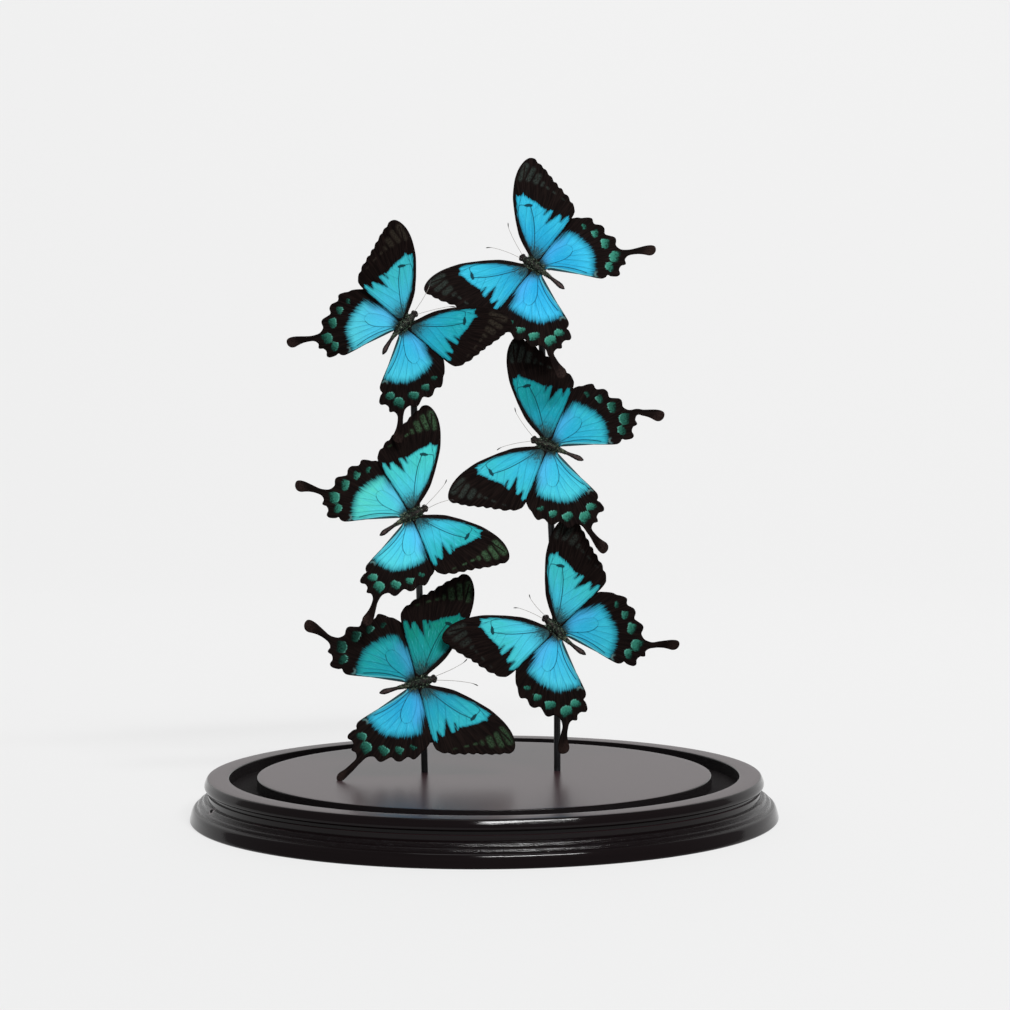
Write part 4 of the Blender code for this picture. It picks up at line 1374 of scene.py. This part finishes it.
def sheen(green, light):
    """A wing's blue with its painted light, from azure at green 0 to jade at green 1. The more light is
    painted, the paler it is.
    """
    return tuple(0.352 * light * part for part in (0.072 * light ** 2, 1.0, 1.9 - 1.1 * green))


for number, (name, row) in enumerate(SPECIMENS.items()):
    *side_sheens, dust, dust_share = PAINTED_SHEENS[name]
    finishes = []
    for index, side_name in enumerate(SIDE_NAMES):
        fore_sheen, hind_sheen, lunule_light = side_sheens[3 * index:3 * index + 3]
        # Painted light: the lunules' green is made darker or brighter by the light that this side catches.
        lunule = darker(LUNULE_GREEN, lunule_light)
        for part, (green, near, far) in (("fore", fore_sheen), ("hind", hind_sheen)):
            finishes.append(wing_top(f"{name}_{side_name}_{part}wing", part, sheen(green, near),
                                     sheen(green + GREENER_OUTWARD, far), lunule, DUSTS[dust], dust_share))
    rng = np.random.default_rng(FIRST_WING_SEED + number)
    mesh = make_wings(name + "_wings", row, finishes + [underside], rng)
    add_piece(name + "_wings", mesh, "butterfly", "butterfly_" + name)

# %% [markdown]
# # Bodies
# A body is a round head with large eyes, a stout hairy thorax and a slim abdomen with faint rings. It is
# lofted from stations along its length, as a maker would shape it over a wire.

# %% Shape a body
BODY = [  # place along the body, height, half width, half depth
    (8.9, 0.3, 0.3, 0.3), (8.5, 0.3, 0.9, 0.85), (7.8, 0.3, 1.3, 1.15), (7.0, 0.3, 1.45, 1.3),
    (6.0, 0.2, 1.5, 1.5), (4.6, 0.1, 1.95, 2.1), (2.0, 0.0, 2.15, 2.5), (-1.5, 0.0, 2.05, 2.4),
    (-4.4, 0.1, 1.6, 1.8), (-6.2, 0.2, 1.2, 1.3), (-9.5, 0.0, 0.85, 1.1), (-12.5, -0.2, 1.05, 1.2),
    (-15.2, -0.4, 1.3, 1.25), (-16.8, -0.5, 0.95, 0.9), (-18.0, -0.6, 0.25, 0.3),
]
BODY_FRONT, WAIST_Y, BODY_END = 8.9, -5.0, -18.0
BODY_RINGS, BODY_SIDES = 90, 28
ABDOMEN_TOP, SEGMENT_LENGTH, SEGMENT_DEPTH = -5.5, 1.7, 0.05
body_line = smooth_line(BODY, 0.3)[::-1]


def body_station(sway, y):
    """Centre and half sizes of the body at places along its length."""
    z, half_width, half_depth = (np.interp(y, body_line[:, 0], body_line[:, k]) for k in (1, 2, 3))
    x = sway * (np.clip(WAIST_Y - y, 0.0, None) / (WAIST_Y - BODY_END)) ** 1.5
    return x, z, half_width, half_depth


def body_surface(sway):
    """Points and faces of the body, with a shallow groove between the abdomen's segments."""
    ys = np.linspace(BODY_FRONT, BODY_END, BODY_RINGS)
    x, z, half_width, half_depth = body_station(sway, ys)
    grooves = SEGMENT_DEPTH * np.abs(np.sin(math.pi * (ys - ABDOMEN_TOP) / SEGMENT_LENGTH)) ** 6
    ringed = np.where(ys < ABDOMEN_TOP, 1.0 - grooves, 1.0)
    turns = np.linspace(0.0, math.tau, BODY_SIDES, endpoint=False)
    points = np.empty((BODY_RINGS, BODY_SIDES, 3))
    points[..., 0] = x[:, None] + (half_width * ringed)[:, None] * np.cos(turns)
    points[..., 1] = ys[:, None]
    points[..., 2] = z[:, None] + (half_depth * ringed)[:, None] * np.sin(turns)
    ends = [[points[0].mean(0)], [points[-1].mean(0)]]
    return np.concatenate([points.reshape(-1, 3)] + ends), ring_faces(BODY_RINGS, BODY_SIDES)


# %% [markdown]
# The fur is real mesh: each hair is a narrow tapered blade that leans to the tail, or either way on the
# head. Its tone is stored at its points, so that one finish gives dark, green and pale hairs.

# %% Grow the fur
HAIR_ZONES = [  # from, to, number of hairs and their length
    (8.6, 6.4, 240, 0.45), (6.4, -4.8, 1300, 1.0), (-4.8, -9.0, 260, 0.7), (-9.0, -17.4, 140, 0.3),
]
HEAD_Y, ABDOMEN_Y = 8.0, -10.0
ROOTED = 0.97  # a hair starts just under the skin, at this share of the way out to it
BLADE_POINTS = 5


def blade_faces(count):
    """A four-sided face and a tip for each blade of five points."""
    faces = []
    for i in range(0, BLADE_POINTS * count, BLADE_POINTS):
        faces += [(i, i + 1, i + 3, i + 2), (i + 2, i + 3, i + 4)]
    return faces


def grow_fur(sway, rng):
    """Blades of hair over the body: points, faces and a tone for each point."""
    points, tones = [], []
    for front, back, count, length in HAIR_ZONES:
        ys = rng.uniform(back, front, count)
        turns = rng.uniform(0.0, math.tau, count)
        x, z, half_width, half_depth = body_station(sway, ys)
        outward = np.stack([np.cos(turns), np.zeros(count), np.sin(turns)], 1)
        skin_x, skin_z = half_width * outward[:, 0], half_depth * outward[:, 2]
        roots = np.stack([x + skin_x * ROOTED, ys, z + skin_z * ROOTED], 1)
        lean = [rng.normal(0.0, 0.2, count), rng.uniform(-1.8, -0.9, count), rng.normal(0.0, 0.2, count)]
        if front > HEAD_Y:
            lean[1] = rng.uniform(-0.6, 0.9, count)
        aim = outward * rng.uniform(0.45, 0.9, count)[:, None] + np.stack(lean, 1)
        aim /= np.linalg.norm(aim, axis=1)[:, None]
        reach = (length * rng.uniform(0.6, 1.25, count))[:, None]
        broad = np.cross(aim, outward)
        broad /= np.linalg.norm(broad, axis=1)[:, None] + 1e-9
        broad *= rng.uniform(0.045, 0.085, count)[:, None]
        middle = roots + aim * 0.55 * reach
        tip = roots + aim * reach + np.array([0.0, -0.35, 0.0]) * 0.3 * reach
        blades = [roots - broad, roots + broad, middle - broad * 0.8, middle + broad * 0.8, tip]
        points.append(np.stack(blades, 1).reshape(-1, 3))
        brightest = 1.0 if ABDOMEN_Y < back and front < HEAD_Y else 0.3
        tones.append(np.repeat(rng.uniform(0.0, brightest, count), BLADE_POINTS))
    points = np.concatenate(points)
    return points, blade_faces(len(points) // BLADE_POINTS), np.concatenate(tones)


# %% [markdown]
# Longer hairs spread from the thorax over the roots of the wings and hide the joint. They rise a little
# more than the wing below them.

# %% Grow the tufts
TUFT_HAIRS = 90
TUFT_HEIGHT = 0.55


def grow_tufts(row, rng):
    """Longer hairs that lie over the roots of the wings, as loose as the rest of the fur."""
    blocks = []
    for index, side in enumerate(SIDES):
        rise = np.radians(row["fore_lift"][index] + rng.uniform(3.0, 16.0, TUFT_HAIRS))
        ys = rng.uniform(-4.2, 5.0, TUFT_HAIRS)
        heights = np.full(TUFT_HAIRS, HINGE_HEIGHT + TUFT_HEIGHT)
        roots = np.stack([side * rng.uniform(1.5, 2.2, TUFT_HAIRS), ys, heights], 1)
        sideways = 0.22 * ys + rng.normal(-0.1, 0.12, TUFT_HAIRS)
        aim = np.stack([side * np.cos(rise), sideways, np.sin(rise)], 1)
        reach = rng.uniform(0.5, 1.4, TUFT_HAIRS)[:, None]
        broad = np.stack([-aim[:, 1], aim[:, 0], np.zeros(TUFT_HAIRS)], 1)
        broad *= rng.uniform(0.03, 0.06, (TUFT_HAIRS, 1))
        middle = roots + 0.55 * reach * aim
        blades = [roots - broad, roots + broad, middle - broad, middle + broad, roots + reach * aim]
        blocks.append(np.stack(blades, 1).reshape(-1, 3))
    tones = np.repeat(rng.uniform(0.0, 1.0, 2 * TUFT_HAIRS), BLADE_POINTS)
    return np.concatenate(blocks), blade_faces(2 * TUFT_HAIRS), tones


# %% [markdown]
# The skin is dark brown and scaly, with a pale green dust at the waist. Along the back, which faces the
# front of the display and its lamp, a paler brown is painted as a highlight, most of all near the abdomen's
# end.

# %% Finish of the skin
SKIN_DARK, SKIN_BROWN, SKIN_SCALE = (0.0024, 0.0014, 0.0014), (0.009, 0.006, 0.0055), (0.024, 0.016, 0.014)
FRONT_HIGHLIGHT_BROWN, WAIST_DUST = (0.062, 0.038, 0.037), (0.075, 0.085, 0.050)
WAIST_MIDDLE = -6.5

skin, tree, surface = start_material("body_skin", Specular_IOR_Level=0.15)
place = place_in_mm(tree)
scales = use_group(fine_scales, Place=place, Size=0.35, Contrast=0.8)["Height"]
along_body = painted(tree, "along_body")
blotched = grain(place, 0.9, 3.0, 0.65)
back = fade(facing(tree)[1], -0.80, -0.97)
# Painted highlight: a paler brown where the body faces the front, growing toward the abdomen's end.
wear_and_front_light = times(fade(along_body, -10.0, -14.0, 0.15, 0.8), back)
waist = fade(calculate("ABSOLUTE", minus(along_body, WAIST_MIDDLE)), 3.5, 1.0)
brown = layered(
    tint(fade(blotched, 0.35, 0.65), SKIN_DARK, SKIN_BROWN),
    (fade(scales, 0.5, 0.7, 0.0, 0.30), SKIN_SCALE),
    (times(wear_and_front_light, fade(blotched, 0.30, 0.55)), FRONT_HIGHLIGHT_BROWN),
    (times(waist, fade(blotched, 0.45, 0.6)), WAIST_DUST))
finish_with(surface, brown, fade(scales, 0.3, 0.7, 0.5, 0.75), bump(scales, 0.5, 0.0001))

# %% [markdown]
# The fur is mostly dark, with green hairs and a few cream ones in clumps, so its tone is mixed with patchy
# noise. The eyes are dark and glossy, with tiny facets. Antennae are pale horn with a dark club, and the
# legs have a colour between the two.

# %% Finishes of fur, eyes and stalks
FUR_DARK, FUR_GREEN, FUR_CREAM = (0.0030, 0.0040, 0.0032), (0.024, 0.048, 0.030), (0.17, 0.21, 0.15)
EYE_DARK, EYE_BROWN = (0.004, 0.003, 0.003), (0.012, 0.008, 0.007)
HORN_DARK, HORN_PALE, CLUB_DARK = (0.10, 0.090, 0.080), (0.30, 0.275, 0.25), (0.012, 0.010, 0.009)

fur, tree, surface = start_material("body_fur", Specular_IOR_Level=0.1)
tone = painted(tree, "hair_tone")
clumps = plus(times(tone, 0.36), times(grain(place_in_mm(tree), 0.85, 3.0, 0.65), 1.5))
hairs = tint(fade(clumps, 0.86, 0.98), FUR_DARK, FUR_GREEN)
finish_with(surface, tint(fade(clumps, 1.06, 1.20), hairs, FUR_CREAM), fade(tone, 0.0, 1.0, 0.45, 0.65))

eye_glaze, tree, surface = start_material("eye", Specular_IOR_Level=0.2)
facets = cells(place_in_mm(tree), 9.0)["Distance"]
finish_with(surface, tint(facets, EYE_DARK, EYE_BROWN), fade(facets, 0.0, 0.6, 0.12, 0.22),
            bump(facets, 0.2, 0.00005))

stalk, tree, surface = start_material("stalks", Specular_IOR_Level=0.4)
banded = grain(place_in_mm(tree), 2.4, 1.0)
club = fade(painted(tree, "along_stalk"), 0.80, 0.90)
horn = tint(club, tint(banded, HORN_DARK, HORN_PALE), CLUB_DARK)
finish_with(surface, horn, fade(banded, 0.3, 0.7, 0.45, 0.6))
print("finishes of a body:", [finish.name for finish in (skin, fur, eye_glaze, stalk)])

# %% [markdown]
# An eye is a flattened ball, spun like the base. An antenna is a thin stalk that arches up, bows a little
# inward and thickens into a club that hooks outward.

# %% Eyes and antennae
EYE_CENTRE, EYE_SIZES = (1.15, 7.35, 0.6), np.array([0.82, 0.98, 0.95])
EYE_ROWS, EYE_COLUMNS = 12, 18
ANTENNA_ROOT, ANTENNA_TIP_HEIGHT = np.array([0.8, 7.6, 1.0]), 2.8
ANTENNA_STEPS, ANTENNA_ARCH, ANTENNA_BOW, HOOK = 26, 4.0, 0.5, 0.7
STALK_SIDES = 8


def eye_ball(side):
    polar = (math.pi * np.arange(1, EYE_ROWS) / EYE_ROWS)[:, None]
    turns = math.tau * np.arange(EYE_COLUMNS) / EYE_COLUMNS
    out, level = np.sin(polar), np.cos(polar)
    ball = np.stack(np.broadcast_arrays(out * np.cos(turns), out * np.sin(turns), level), 2)
    ball = np.concatenate([ball.reshape(-1, 3), [(0.0, 0.0, 1.0), (0.0, 0.0, -1.0)]])
    centre = np.array(EYE_CENTRE) * (side, 1.0, 1.0)
    return centre + EYE_SIZES * ball, turned_over(ring_faces(EYE_ROWS - 1, EYE_COLUMNS))


def antenna_line(side, tip):
    """The line of an antenna, its radii, and the share of its length at each point."""
    root = ANTENNA_ROOT * (side, 1.0, 1.0)
    end = np.array([*tip, ANTENNA_TIP_HEIGHT])
    across = np.array([end[1] - root[1], root[0] - end[0], 0.0])
    across /= np.linalg.norm(across)
    t = np.linspace(0.0, 1.0, ANTENNA_STEPS)
    line = root + (end - root) * t[:, None]
    line[:, 2] += ANTENNA_ARCH * t * (1.0 - t)
    hook = HOOK * np.clip((t - 0.80) / 0.20, 0.0, 1.0) ** 2
    line += across * (side * (hook - ANTENNA_BOW * np.sin(math.pi * t)))[:, None]
    radii = 0.11 - 0.02 * t + 0.17 * np.exp(-((t - 0.95) / 0.055) ** 2)
    radii[-1] = 0.08
    return line, radii, t


# %% [markdown]
# The six legs are folded under the body as on a dried specimen. Body, fur, eyes and stalks then become one
# mesh, and each kind of value is stored for all its points, as nothing where a point hasn't got it.

# %% Legs, and the whole body
LEG_ROOTS_Y = (3.8, 1.0, -1.8)
LEG_POINTS = [(1.2, 0.0, -1.6), (2.6, -0.3, -2.2), (3.6, -1.2, -2.3), (3.3, -2.8, -2.4), (2.6, -4.6, -2.4)]
LEG_RADII = [0.28, 0.24, 0.19, 0.14, 0.10]
LEG_SHADE = 0.86
SKIN_SLOT, FUR_SLOT, EYE_SLOT, STALK_SLOT = range(4)
FIRST_BODY_SEED = 200


def make_body(name, row, rng):
    """One mesh with the body, its fur, eyes, antennae and legs."""
    blocks, faces, slots = [], [], []
    values = {"along_body": [], "hair_tone": [], "along_stalk": []}

    def add(points, new_faces, slot, tones=None, along=None):
        start = sum(len(block) for block in blocks)
        nothing = np.zeros(len(points))
        blocks.append(points)
        faces.extend([tuple(i + start for i in face) for face in new_faces])
        slots.extend([slot] * len(new_faces))
        values["along_body"].append(points[:, 1])
        values["hair_tone"].append(nothing if tones is None else tones)
        values["along_stalk"].append(nothing if along is None else along)

    add(*body_surface(row["sway"]), SKIN_SLOT)
    for points, new_faces, tones in (grow_fur(row["sway"], rng), grow_tufts(row, rng)):
        add(points, new_faces, FUR_SLOT, tones=tones)
    for index, side in enumerate(SIDES):
        add(*eye_ball(side), EYE_SLOT)
        line, radii, t = antenna_line(side, row["antenna_tips"][index])
        along = np.concatenate([np.repeat(t, STALK_SIDES), [0.0, 1.0]])
        add(*tube(line, radii, STALK_SIDES), STALK_SLOT, along=along)
        for root_y in LEG_ROOTS_Y:
            line = smooth_line([(side * x, root_y + y, z) for x, y, z in LEG_POINTS], 0.4)
            radii = np.interp(np.linspace(0, 1, len(line)), np.linspace(0, 1, len(LEG_RADII)), LEG_RADII)
            corners, leg_faces = tube(line, radii, STALK_SIDES)
            add(corners, leg_faces, STALK_SLOT, along=np.full(len(corners), LEG_SHADE))
    mesh = make_mesh(name, seat(row, np.concatenate(blocks)), faces, (skin, fur, eye_glaze, stalk), slots)
    store(mesh, values)
    return mesh


for number, (name, row) in enumerate(SPECIMENS.items()):
    mesh = make_body(name + "_body", row, np.random.default_rng(FIRST_BODY_SEED + number))
    add_piece(name + "_body", mesh, "butterfly", "butterfly_" + name)
